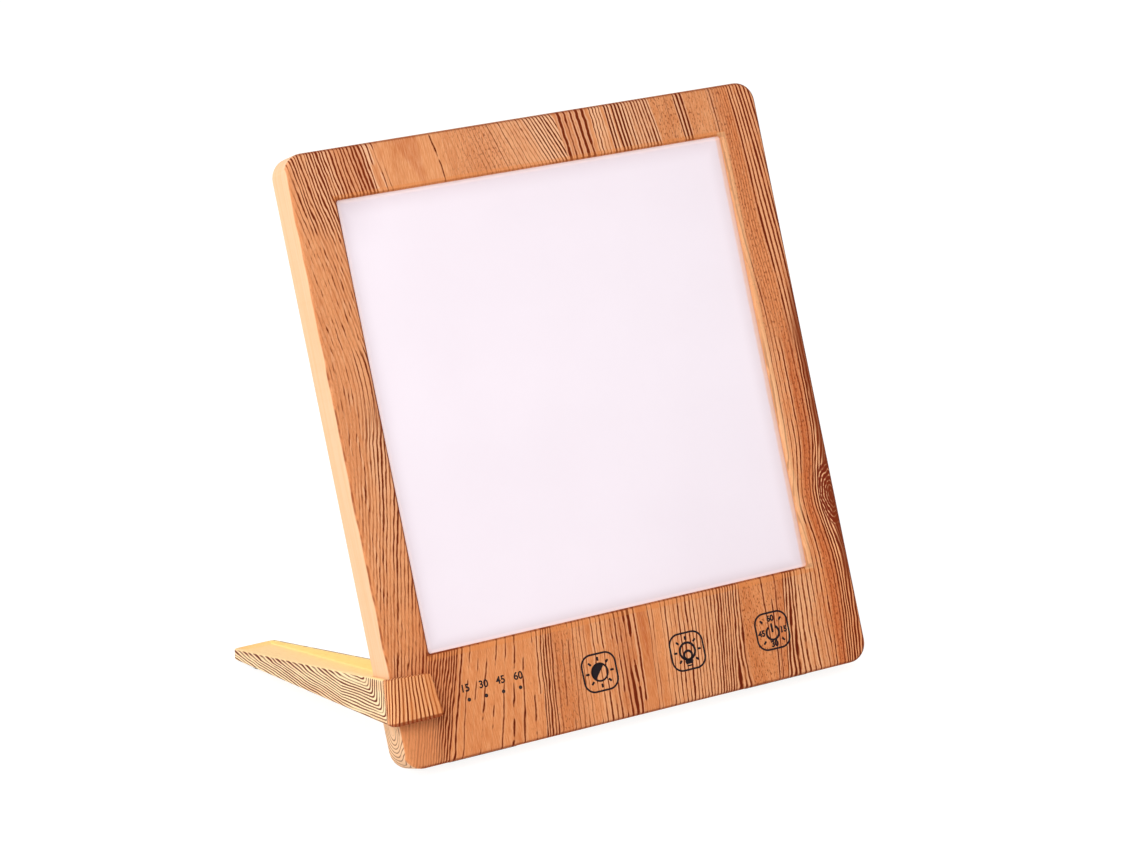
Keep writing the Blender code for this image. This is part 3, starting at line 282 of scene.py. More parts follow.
class Finish(Graph):
    """A material and its Principled shader."""

    def __init__(self, name, **settings):
        self.material = bpy.data.materials.new(name)
        self.material.use_nodes = True
        super().__init__(self.material.node_tree)
        self.shader = self.add("ShaderNodeBsdfPrincipled")
        self.surface = Wire(self, self.shader.outputs["BSDF"])
        self.output = self.add("ShaderNodeOutputMaterial", None, {"Surface": self.surface})
        for key, value in settings.items():
            self.set(key.replace("_", " "), value)

    def set(self, name, value):
        """A value or a link on the Principled shader."""
        if name in {"Base Color", "Emission Color"} and not isinstance(value, Wire):
            value = (*value[:3], 1.0)
        self.put(self.shader.inputs[name], value)

    def point(self, corner=(0.0, 0.0, 0.0), turn=(0.0, 0.0, 0.0)):
        """Object coordinates seen from a corner and a turn, in millimetres."""
        seen = self.node("ShaderNodeTexCoord", result="Object")
        return self.node(
            "ShaderNodeMapping",
            {"vector_type": "TEXTURE"},
            {"Vector": seen, "Location": corner, "Rotation": turn, "Scale": (MM, MM, MM)},
        )

    def panel_point(self):
        return self.point(tuple(PANEL_CORNER), PANEL_TURN)

    def split(self, kind, value):
        """The parts of a vector or a colour, by the node that takes it apart."""
        return [Wire(self, out) for out in self.add(kind, None, (value,)).outputs]

    def parts(self, vector):
        return self.split("ShaderNodeSeparateXYZ", vector)

    def channels(self, colour):
        return self.split("ShaderNodeSeparateColor", colour)

    def joined(self, x, y, z):
        return self.node("ShaderNodeCombineXYZ", None, (x, y, z))

    def noise(self, vector, scale, detail=2.0, roughness=0.5):
        return self.node(
            "ShaderNodeTexNoise",
            {"noise_dimensions": "3D"},
            {"Vector": vector, "Scale": scale, "Detail": detail, "Roughness": roughness},
            "Fac",
        )

    def stretched(self, x, y, z, detail=2.0, roughness=0.5):
        """Noise over three values that are already scaled to its grain."""
        return self.noise(self.joined(x, y, z), 1.0, detail, roughness)

    def chance(self, value):
        """A random number from 0 to 1 for each whole value."""
        settings = {"noise_dimensions": "1D"}
        return self.node("ShaderNodeTexWhiteNoise", settings, {"W": value}, "Value")

    def blend(self, share, first, second, mode="MIX"):
        """One colour over another by a share, which the node holds between nothing and all."""
        ends = [c if isinstance(c, Wire) else (*c[:3], 1.0) for c in (first, second)]
        settings = {"data_type": "RGBA", "blend_type": mode, "clamp_factor": True}
        return self.node("ShaderNodeMix", settings, {0: share, 6: ends[0], 7: ends[1]}, 2)

    def layered(self, ground, *layers):
        """Colours laid over a ground in turn, each as (share, colour) or (share, colour, mode)."""
        for share, colour, *mode in layers:
            ground = self.blend(share, ground, colour, *mode)
        return ground

    def bump(self, height, strength=0.3, distance=0.0001):
        sockets = {"Strength": strength, "Distance": distance, "Height": height}
        self.set("Normal", self.node("ShaderNodeBump", None, sockets))


def shade(red, green, blue):
    """A colour as picked on screen, from 0 to 255, in the linear values a shader takes."""
    return tuple(
        (c / 255 / 12.92) if c / 255 <= 0.04045 else ((c / 255 + 0.055) / 1.055) ** 2.4
        for c in (red, green, blue)
    )


def eased(first, second, share):
    """From the first value to the second by a share."""
    return first + (second - first) * share


def between(value, start, end, soft=0.6):
    """One inside a span and nothing outside it, with soft ends."""
    return value.ramp(start - soft, start) * value.ramp(end + soft, end)


def swell(value, middle, wide):
    """A bell: one at its middle, falling away on both sides."""
    return (((value - middle) / wide) ** 2.0 * -1.0).math("EXPONENT")


def oval(across, up, middle, radii):
    """Distance from the middle of an oval, in radii."""
    wide, high = ((value - at) / radius for value, at, radius in zip((across, up), middle, radii))
    return (wide ** 2.0 + high ** 2.0).math("SQRT")


def stepped(rows, low, high):
    """Places and values as the stops of a ramp that covers low to high."""
    return [((place - low) / (high - low), (*values, 1.0)[:4]) for place, *values in rows]


def ramp_colour(finish, place, rows, interpolation):
    """The colour of a table at a place, from one ramp over the table's whole length."""
    low, high = rows[0][0], rows[-1][0]
    settings = {"stops": stepped(rows, low, high), "interpolation": interpolation}
    share = place.ramp(low, high, smooth=False)
    return finish.node("ShaderNodeValToRGB", settings, {"Fac": share}, "Color")


def read_one(finish, place, rows, interpolation="LINEAR"):
    """The value of a table of pairs at a place."""
    values = [value for _, value in rows]
    least, span = min(values), max(values) - min(values)
    grey = [(at, *[(value - least) / span] * 3) for at, value in rows]
    return finish.channels(ramp_colour(finish, place, grey, interpolation))[0] * span + least


def read_four(finish, place, rows, interpolation="LINEAR"):
    """The values of a table of up to four at a place, from two ramps end to end."""
    middle = len(rows) // 2
    halves = []
    for part in (rows[: middle + 1], rows[middle:]):
        shown = ramp_colour(finish, place, part, interpolation)
        halves.append((*finish.channels(shown), shown.beside("Alpha")))
    later = place.math("GREATER_THAN", rows[middle][0])
    return [eased(a, b, later) for a, b in zip(*halves)]


def strand_count(across, bands):
    """Grain lines passed so far across the print. Each band is (start, end, lines in it)."""
    passed = [across.ramp(a, b, 0.0, float(lines), smooth=False) for a, b, lines in bands]
    return sum(passed[1:], passed[0])


def band_steps(bands, low, high):
    """Lines to the millimetre in each band, as rows of a stepped table, with a trace between."""
    rows, reached = [], low
    for start, end, count in bands:
        if start > reached:
            rows.append((reached, *[NO_LINES] * 3))
        rows.append((start, *[count / (end - start) / LINE_DENSITY_UNIT] * 3))
        reached = end
    return [*rows, (high, *[NO_LINES] * 3)]


def strands(finish, across, along, bands, rows, seed):
    """Dark line, soft shoulder, pale edge, redness and pores of one grain table."""
    scaled = [(place, strength / GREATEST_STRENGTH, *others) for place, strength, *others in rows]
    strength, redness, pores, pale = read_four(finish, across, scaled)
    strength = strength * GREATEST_STRENGTH
    steps = band_steps(bands, rows[0][0], bands[-1][1])
    density = read_four(finish, across, steps, "CONSTANT")[0] * LINE_DENSITY_UNIT
    count = strand_count(across, bands)
    order = count.floor()
    off = abs(count.fraction() - 0.5) / density

    own = finish.chance(order + seed)
    patch = finish.stretched(order * 7.3 + seed, along * 0.06, 0.0, 3.0, 0.6)
    nib = finish.stretched(across * 1.2, along * 0.6, seed, 1.0)
    broken = density.ramp(0.62, 0.42) * redness.ramp(0.9, 0.5)
    dashes = patch.ramp(0.44, 0.5, 0.08, 1.0)
    runs = patch.ramp(0.32, 0.52, 0.45, 1.0)
    held = eased(runs, dashes, broken)

    strong = (strength * (own * 0.8 + 0.5) * held).clamped()
    wide = strong * strong * (redness * 0.34 + 0.17) + nib * 0.16 + 0.06
    wide = wide.least(0.25 / density)
    line = ((wide + 0.12 - off) / 0.24).clamped() * (strong * 2.2).clamped()
    soft = ((wide + 0.6 - off) / 0.5).clamped() * strong * (redness * 0.6 + 0.7)
    edge = ((off - wide - 0.04) / 0.14).clamped() * ((wide + 0.85 - off) / 0.36).clamped()
    return line, soft, edge * pale * held.least(strong + 0.35), redness, pores


# Grain tables

# Density of a gap between bands, the greatest strength in the tables, and the unit of density
NO_LINES = 0.02
GREATEST_STRENGTH = 1.6
LINE_DENSITY_UNIT = 1.6

# Bands of grain lines, as (start, end, lines in it), across the top edge
TOP_BANDS = (
    (-20.0, 1.0, 13), (1.0, 16.0, 12), (16.0, 20.8, 3), (20.8, 30.2, 6), (30.2, 33.2, 2),
    (33.2, 35.6, 1), (35.6, 37.6, 1), (37.6, 39.6, 1), (41.0, 59.0, 6), (59.6, 62.8, 1),
    (63.0, 85.0, 13), (85.0, 95.0, 6), (95.0, 105.0, 7), (105.0, 113.6, 6), (115.4, 128.8, 5),
    (130.0, 135.6, 4), (136.6, 139.4, 2), (139.8, 144.2, 3), (144.2, 156.6, 9), (158.0, 166.0, 2),
    (167.4, 172.2, 3), (173.0, 182.4, 3), (182.4, 188.0, 4), (188.0, 192.2, 4), (192.2, 199.4, 5),
    (199.4, 206.0, 4), (206.0, 216.0, 6),
)
# Place, strength of its lines, redness, pores, pale edges
TOP_ROWS = (
    (-20.0, 0.6, 0.4, 0.3, 0.3), (-9.5, 0.62, 0.4, 0.3, 0.5), (-4.0, 0.45, 0.3, 0.3, 0.4),
    (0.0, 0.5, 0.3, 0.2, 0.3), (1.5, 0.8, 0.4, 0.1, 0.6), (9.0, 0.8, 0.5, 0.1, 0.9),
    (16.0, 0.95, 0.6, 0.1, 1.0), (20.0, 0.7, 0.8, 0.2, 0.4), (29.6, 0.85, 0.95, 0.2, 0.4),
    (33.0, 1.0, 0.5, 0.0, 1.0), (35.6, 1.1, 0.35, 0.0, 0.9), (37.0, 0.75, 0.2, 0.0, 0.4),
    (40.4, 0.02, 0.1, 0.0, 0.0), (59.0, 0.05, 0.1, 0.0, 0.0), (60.4, 0.9, 0.1, 0.0, 0.1),
    (63.4, 0.06, 0.1, 0.1, 0.1), (74.0, 0.12, 0.3, 0.6, 0.2), (84.0, 0.25, 0.45, 0.9, 0.3),
    (90.0, 0.34, 0.2, 0.4, 0.6), (98.0, 0.34, 0.1, 0.2, 0.7), (104.0, 0.6, 0.1, 0.1, 1.0),
    (113.5, 0.8, 0.2, 0.1, 1.0), (115.0, 0.9, 0.7, 0.3, 0.5), (118.0, 1.0, 0.8, 0.3, 0.6),
    (128.4, 1.0, 0.75, 0.3, 0.6), (129.8, 0.5, 0.1, 0.0, 0.9), (135.4, 0.6, 0.0, 0.0, 1.0),
    (136.8, 1.5, 0.15, 0.0, 1.0), (140.2, 1.2, 0.3, 0.1, 1.0), (145.0, 0.85, 0.2, 0.2, 1.0),
    (151.0, 0.75, 0.5, 0.5, 0.8), (156.4, 0.85, 0.4, 0.5, 1.0), (158.0, 0.2, 0.1, 0.9, 0.1),
    (166.6, 0.2, 0.1, 0.9, 0.1), (168.0, 1.2, 0.25, 0.4, 0.8), (171.6, 1.1, 0.3, 0.4, 0.7),
    (173.4, 0.15, 0.25, 0.9, 0.1), (181.0, 0.15, 0.1, 0.4, 0.1), (184.0, 0.45, 0.3, 0.9, 0.5),
    (187.0, 0.2, 0.3, 1.0, 0.3), (191.6, 0.2, 0.3, 0.9, 0.3), (193.0, 1.05, 0.45, 0.3, 1.0),
    (200.0, 1.0, 0.6, 0.6, 0.9),
)
# Place at the top edge, and sideways run of a line for each millimetre down: left of the
# parting, and right of it
TOP_LEAN = (
    (-14.0, 0.2), (10.0, 0.22), (36.0, 0.19), (41.0, 0.2), (62.0, 0.18), (80.0, 0.3),
    (92.0, 0.36), (105.0, 0.46), (130.0, 0.52),
)
RIGHT_LEAN = (
    (110.0, 0.16), (122.0, 0.13), (130.0, 0.1), (137.0, 0.12), (143.0, 0.14), (150.0, 0.17),
    (157.0, 0.2), (166.0, 0.14), (180.0, 0.1), (190.0, 0.1), (200.0, 0.12),
)
PARTING = 114.6
# Place up the left side, and sideways run of its lines since the top edge
LEFT_ARCH = (
    (0.0, -13.0), (40.0, -3.0), (85.0, 6.5), (125.0, 15.0), (140.0, 16.8), (152.0, 17.0),
    (166.0, 15.0), (195.0, 8.6), (215.0, 5.0), (238.0, 0.0),
)
ARCH_AT_WINDOW = -2.6
# The same three tables along the window's lower lip
BOTTOM_BANDS = (
    (-20.0, 18.0, 26), (18.0, 31.0, 11), (31.0, 34.0, 1), (34.0, 60.0, 7), (61.0, 65.4, 2),
    (65.4, 70.6, 5), (70.6, 78.0, 3), (78.0, 84.6, 4), (86.2, 102.2, 8), (102.2, 104.4, 1),
    (104.4, 106.6, 1), (111.0, 114.6, 2), (117.0, 130.0, 7), (130.0, 142.6, 8), (142.6, 153.8, 9),
    (162.6, 165.2, 1), (166.2, 169.0, 1), (169.0, 171.0, 1), (173.4, 180.0, 5), (180.0, 193.2, 7),
    (193.2, 198.0, 2), (198.0, 206.0, 6), (206.0, 226.0, 14),
)
BOTTOM_ROWS = (
    (-20.0, 0.5, 0.6, 0.4, 0.3), (-12.0, 0.6, 0.4, 0.3, 0.6), (-6.0, 0.95, 0.15, 0.2, 1.0),
    (2.0, 0.75, 0.3, 0.3, 0.8), (10.0, 0.6, 0.35, 0.3, 0.4), (17.5, 0.8, 0.85, 0.3, 0.3),
    (24.0, 0.85, 0.8, 0.3, 0.5), (30.6, 0.8, 0.4, 0.1, 0.5), (34.0, 0.7, 0.05, 0.1, 0.3),
    (58.0, 0.7, 0.05, 0.1, 0.3), (61.0, 0.35, 0.1, 0.2, 0.2), (66.0, 0.72, 0.2, 0.2, 0.8),
    (70.0, 0.7, 0.3, 0.5, 0.5), (72.0, 0.25, 0.35, 0.7, 0.1), (78.6, 0.5, 0.2, 0.5, 0.4),
    (84.0, 0.45, 0.1, 0.3, 0.6), (88.0, 0.7, 0.1, 0.2, 0.8), (97.0, 0.6, 0.4, 0.3, 0.6),
    (99.5, 0.8, 0.8, 0.4, 0.4), (103.0, 0.95, 0.6, 0.2, 0.7), (106.4, 0.9, 0.4, 0.0, 0.7),
    (107.4, 0.1, 0.2, 0.0, 0.2), (110.8, 0.1, 0.2, 0.0, 0.2), (112.0, 0.95, 0.15, 0.0, 0.8),
    (115.0, 0.3, 0.05, 0.2, 0.4), (120.0, 0.65, 0.05, 0.2, 0.8), (131.0, 0.75, 0.2, 0.4, 0.8),
    (141.0, 0.8, 0.2, 0.5, 0.8), (144.0, 0.78, 0.5, 0.6, 0.9), (152.6, 0.8, 0.3, 0.3, 1.0),
    (154.2, 0.05, 0.1, 0.9, 0.0), (161.6, 0.1, 0.1, 0.9, 0.0), (163.0, 0.8, 0.1, 0.6, 0.2),
    (168.0, 1.0, 0.3, 0.6, 0.5), (171.2, 0.3, 0.8, 1.0, 0.2), (173.6, 1.1, 0.5, 0.3, 1.0),
    (179.0, 0.9, 0.2, 0.3, 1.0), (186.0, 0.7, 0.15, 0.5, 0.9), (192.6, 0.65, 0.3, 0.5, 0.9),
    (194.0, 0.2, 1.0, 1.0, 0.1), (197.4, 0.4, 1.0, 1.0, 0.3), (198.6, 1.35, 0.4, 0.3, 1.0),
    (203.5, 1.35, 0.45, 0.2, 1.0), (206.0, 1.0, 0.8, 0.4, 1.0),
)
BOTTOM_LEAN = (
    (-12.0, 0.22), (10.0, 0.28), (24.0, 0.31), (40.0, 0.29), (52.0, 0.24), (66.0, 0.15),
    (84.0, 0.1), (96.0, 0.07), (109.0, 0.04), (116.0, 0.07), (130.0, 0.09), (142.0, 0.12),
    (152.0, 0.14), (160.0, 0.05), (168.0, 0.04), (176.0, 0.16), (186.0, 0.07), (196.0, 0.03),
    (206.0, 0.1),
)
TOP_SEED, BOTTOM_SEED = 3.0, 41.0
# Heights between which the sides go from the lower table to the upper one
JOIN_LOW, JOIN_HIGH = 122.0, 148.0
# Along the left side the lines follow the arch, and further in they lean
LEFT_SIDE = (34.0, 20.0)
# How far the lines of the top run down the panel in all, and to the window's lower lip
WHOLE_FALL = 61.5
FALL_AT_LIP = 39.8

# The knot at the right: its middle, its radii, and the tone below it
KNOT = (203.0, 68.5)
KNOT_RADII = (6.2, 14.0)
KNOT_TONE_MIDDLE = (203.0, 60.5)
KNOT_TONE_RADII = (6.4, 15.0)
# Thick lines that pass the knot on its left: first and last place, and their pitch
HEM = (199.6, 204.2)
HEM_PITCH = 1.5
# Red wedges: at the top one leans to the left, at the bottom one stands upright
TOP_WEDGE_FOOT, BOTTOM_WEDGE_FOOT, BOTTOM_WEDGE_MIDDLE = 214.0, 11.0, 108.7
# Tints of the bezel's lower half and right side, and of the leg's lug
LOWER_TONE = (0.98, 0.89, 0.79)
RIGHT_TONE = (1.0, 0.86, 0.74)
LUG_TONE = (0.99, 0.83, 0.64)


# Finishes


def grain_places(finish, across, up, waver):
    """Where a point of the bezel stands in the upper and in the lower grain table."""
    drift = finish.stretched(across * 0.05, 0.0, up * 0.016) - 0.5
    ripple = finish.stretched(across * 0.12, 8.0, up * 0.3, 1.0) - 0.5
    rippled = between(across, 117.0, 134.0, 4.0) * up.ramp(214.0, 220.0)
    uneven = finish.stretched(across * 0.5, 5.0, up * 0.012, 1.0) - 0.5
    wander = drift * 2.2 + waver * 1.0 + uneven * 0.9 + ripple * rippled * 2.4

    fall = (1.0 - ((up - 115.0) / 123.0) ** 2.0) * WHOLE_FALL
    first = across - fall * across.ramp(150.0, 190.0, 0.2, 0.1)
    right = (across - fall * 0.18).ramp(PARTING, PARTING + 0.2, smooth=False)
    leaning = eased(read_one(finish, first, TOP_LEAN), read_one(finish, first, RIGHT_LEAN), right)
    left_side = across.ramp(*LEFT_SIDE)
    left_run = read_one(finish, up, LEFT_ARCH, "B_SPLINE")
    bow = swell(up, 180.0, 26.0) * across.ramp(204.0, 190.0) * 1.8
    top = across - eased(fall * leaning, left_run, left_side)
    top = top + wander * across.ramp(100.0, 104.0, 1.0, 0.4) + bow * across.ramp(150.0, 180.0)

    pull = across.ramp(160.0, 188.0) * 3.6 + across.ramp(188.0, 206.0) * 3.0
    under = (WINDOW_BOTTOM - up).most(0.0)
    rise = (fall.least(WHOLE_FALL) - FALL_AT_LIP) * 0.08
    rise = eased(rise, left_run - ARCH_AT_WINDOW, left_side) * up.ramp(41.0, 44.0)
    low = across + under * read_one(finish, across + under * 0.2, BOTTOM_LEAN) - rise
    return top, low + swell(up, KNOT[1], 17.0) * pull + wander


def quiet_share(finish, across, up):
    """How strong the lines stay: fewer on the left side, by the lug and on the outer rim."""
    quiet = across.ramp(0.6, 4.0, 0.1, 1.0).most(up.ramp(225.0, 236.0))
    corner = 1.0 - across.ramp(15.0, 11.0) * up.ramp(22.0, 19.0) * 0.55
    calm = across.ramp(12.5, 8.5) * up.ramp(212.0, 204.0) * up.ramp(90.0, 130.0, 0.55, 0.8)
    calm = calm.most(between(up, 164.0, 202.0, 9.0) * 0.72).most(between(up, 44.0, 56.0, 8.0) * 0.6)
    calm = calm * across.ramp(24.0, 19.0) * up.ramp(42.0, 46.0)
    kept = finish.stretched(across * 0.9, 4.0, up * 0.08).ramp(0.53, 0.6)
    return quiet * corner * (1.0 - calm * (1.0 - kept))


def hem_lines(low_across, across, up, line, edge):
    """Turns the lines beside the knot into even thick ones. Returns line, edge and the hem."""
    hem = between(low_across, *HEM, 0.4) * swell(up, KNOT[1], 30.0).ramp(0.2, 0.6)
    hem = hem * across.ramp(190.0, 192.0)
    phase = ((low_across - HEM[0]) / HEM_PITCH).fraction()
    line = eased(line, phase.ramp(0.0, 0.14) * phase.ramp(0.54, 0.4), hem)
    edge = eased(edge, phase.ramp(0.5, 0.62) * phase.ramp(0.98, 0.86) * 1.2, hem)
    return line, edge, hem


def knot_lines(finish, across, up, waver, line, edge):
    """Rings of the knot in place of the lines. Returns line, edge and the knot's red tone."""
    place = oval(across, up, KNOT, KNOT_RADII)
    below = oval(across, up, KNOT_TONE_MIDDLE, KNOT_TONE_RADII)
    knot = place.ramp(0.85, 1.02, 1.0, 0.0)
    rings = abs((place * 6.6 + waver * 2.0).fraction() - 0.5) * 2.0
    parts = finish.stretched(across * 0.9, 3.0, up * 0.5).ramp(0.42, 0.58)
    line = eased(line, rings.ramp(0.5, 0.9) * 0.7, knot)
    edge = eased(edge, rings.ramp(0.42, 0.08) * (parts * 1.2 + 0.2), knot)
    tone = place.ramp(0.95, 1.25, 0.92, 0.0).most(below.ramp(0.8, 1.15, 0.85, 0.0))
    return line * (1.0 - below.ramp(0.9, 0.6) * up.ramp(62.0, 58.0) * 0.6), edge, tone


def wedges(across, up):
    """The two red wedges in the print."""
    upper = (up - TOP_WEDGE_FOOT) * 0.25 - abs(across - 50.5 - (PANEL_HEIGHT - up) * 0.28)
    upper = upper.ramp(-0.8, 1.8) * up.ramp(212.0, 216.0)
    lower = (up - BOTTOM_WEDGE_FOOT) * 0.062 - abs(across - BOTTOM_WEDGE_MIDDLE)
    lower = lower.ramp(-0.5, 0.9) * between(up, 10.0, 44.0, 4.0)
    return (upper * 0.8).most(lower * 1.1)


def edge_layers(finish, across, depth, up, line, ticks, border_at, colours):
    """Layers for the window's lips, the outer rim and the two side edges of the bezel, with painted
    shade, painted light and a painted highlight on the lips.
    """
    tall = between(up, WINDOW_BOTTOM - 1.0, WINDOW_TOP + 1.0)
    broad = between(across, WINDOW_LEFT - 1.0, WINDOW_RIGHT + 1.0)
    # Painted shade along the window's left, upper and lower lips, broken up by the grain
    shaded = between(across, WINDOW_LEFT - 0.7, WINDOW_LEFT + 0.4, 0.3) * tall
    shaded = shaded.most(between(up, WINDOW_TOP - 0.6, WINDOW_TOP + 0.6, 0.3) * broad)
    shaded = shaded.most(between(up, WINDOW_BOTTOM - 0.6, WINDOW_BOTTOM + 0.6, 0.3) * broad)
    # Painted light: a brighter band just below the lower lip and just above the upper lip
    lit = between(up, WINDOW_BOTTOM - 2.4, WINDOW_BOTTOM - 0.8, 0.5)
    lit = lit.most(between(up, WINDOW_TOP + 0.2, WINDOW_TOP + 1.6, 0.5)) * broad
    # Painted highlight on the window's right lip, on the side that faces the key light
    painted_lip_highlight = between(across, WINDOW_RIGHT - 1.4, WINDOW_RIGHT + 1.4, 0.8) * tall

    turned = depth.ramp(0.04, 0.5)
    rim = turned * across.ramp(4.0, 8.0) * up.ramp(219.0, 225.0).most(up.ramp(30.0, 6.0))
    rim = rim.most(turned * across.ramp(200.0, 203.0))
    right_parts = finish.stretched(7.0, 0.0, up * 0.06).ramp(0.3, 0.5, 0.35, 1.0)
    right_edge = across.ramp(200.8, 202.6) * up.ramp(168.0, 140.0) * up.ramp(26.0, 40.0)
    left_parts = finish.stretched(9.0, 0.0, up * 0.1).ramp(0.44, 0.56)
    left_edge = between(across - border_at, 0.1, 0.5, 0.3) * between(up, 48.0, 150.0, 20.0)
    return (
        (shaded * ticks, colours["lip_shade"]),
        (lit * (0.5 - line * 0.3), colours["lip"]),
        (painted_lip_highlight * 0.5, colours["wall_dark"]),
        (rim * (line * 0.5 + 0.6), colours["lip_shade"]),
        (right_edge * right_parts * 0.8, colours["lip_shade"]),
        (left_edge * left_parts * 0.7, colours["lip_shade"]),
    )


def plain_walls(finish, across, depth, up, waver, fine, colours):
    """The pale side walls and the recess, with end-grain arcs at the lower left corner."""
    flow = finish.stretched(up * 0.02, depth * 0.5, across * 0.02)
    recess = between(across, WINDOW_LEFT - 1.6, WINDOW_RIGHT + 1.6)
    recess = recess * between(up, WINDOW_BOTTOM - 1.5, WINDOW_TOP + 1.5)
    place = ((depth - 7.0) / 0.8) ** 2.0 + (up - 17.0) ** 2.0 + (across * 0.6) ** 2.0
    place = place.math("SQRT")
    arcs = abs(((place + waver * 2.0) / 1.7).fraction() - 0.5) * 2.0
    shown = place.ramp(2.0, 4.0) * up.ramp(19.5, 16.0) * across.ramp(10.0, 4.0)
    return finish.layered(
        colours["wall"],
        (flow.ramp(0.35, 0.7) * 0.5, colours["wall_dark"]),
        (fine.ramp(0.5, 0.8) * 0.1, colours["light"]),
        (recess * 0.75, colours["light"]),
        (arcs.ramp(0.42, 0.12) * shown * 0.75, colours["dark"]),
    )


def wood_print(name, colours):
    """The wood print on the bezel: two grain tables joined down the sides, a knot at the right."""
    finish = Finish(name, **PRINT_GLOSS)
    across, depth, up = finish.parts(finish.panel_point())
    waver = finish.stretched(across * 0.3, 0.0, up * 0.13) - 0.5
    top_across, low_across = grain_places(finish, across, up, waver)
    top = strands(finish, top_across, up, TOP_BANDS, TOP_ROWS, TOP_SEED)
    low = strands(finish, low_across, up, BOTTOM_BANDS, BOTTOM_ROWS, BOTTOM_SEED)
    join = up.ramp(JOIN_LOW, JOIN_HIGH)
    line, soft, edge, redness, pores = [eased(a, b, join) for a, b in zip(low, top)]
    quiet = quiet_share(finish, across, up)
    line, soft, edge = [share * quiet for share in (line, soft, edge)]
    line, edge, hem = hem_lines(low_across, across, up, line, edge)
    line, edge, knot_tone = knot_lines(finish, across, up, waver, line, edge)
    redness = redness.most(wedges(across, up))

    cloud = finish.stretched(across * 0.12, 0.0, up * 0.02, 3.0)
    fine = finish.stretched(across * 2.6, 0.0, up * 0.2, 3.0, 0.6)
    specks = finish.stretched(across * 1.9, 0.0, up * 0.7, 1.0)
    ticks = (line * 0.5 + soft * 0.7 + specks.ramp(0.45, 0.6) * 0.3 + 0.45).clamped()
    border_at = finish.stretched(3.0, 0.0, up * 0.045, 1.0).ramp(0.3, 0.7, 0.3, 0.75)
    line_tone = finish.blend(redness * 0.6 + 0.15, colours["dark"], colours["lip_shade"])
    # Painted light below the lug, lightening the lug's shadow on the bezel
    painted_light_below_lug = across.ramp(18.0, 14.0) * up.ramp(20.0, 17.5)
    printed = finish.layered(
        colours["light"],
        (cloud.ramp(0.35, 0.7), colours["ground"]),
        (redness * 0.48, colours["red"]),
        (fine.ramp(0.42, 0.75) * 0.42, colours["red"]),
        (fine.ramp(0.55, 0.28) * 0.26, colours["pale"]),
        (soft * (redness * 0.34 + 0.3), colours["red"]),
        (specks.ramp(0.55, 0.66) * pores * 0.8, colours["lip_shade"]),
        (knot_tone, colours["knot"]),
        (edge * (hem * 0.3 + 0.7), colours["pale"]),
        (across.ramp(*LEFT_SIDE) * 0.22, colours["light"]),
        (line, line_tone),
        (up.ramp(150.0, 20.0), LOWER_TONE, "MULTIPLY"),
        (across.ramp(184.0, 192.0), RIGHT_TONE, "MULTIPLY"),
        (painted_light_below_lug * 0.3, colours["light"]),
        *edge_layers(finish, across, depth, up, line, ticks, border_at, colours),
    )
    wall = depth.ramp(0.9, 2.0).most((across - border_at).ramp(0.2, -0.2))
    plain = plain_walls(finish, across, depth, up, waver, fine, colours)
    finish.set("Base Color", finish.blend(wall, printed, plain))
    finish.set("Roughness", fine.ramp(0.3, 0.7, 0.46, 0.58))
    finish.bump(fine * 0.4 + line * -0.3, 0.2, 0.00006)
    return finish.material


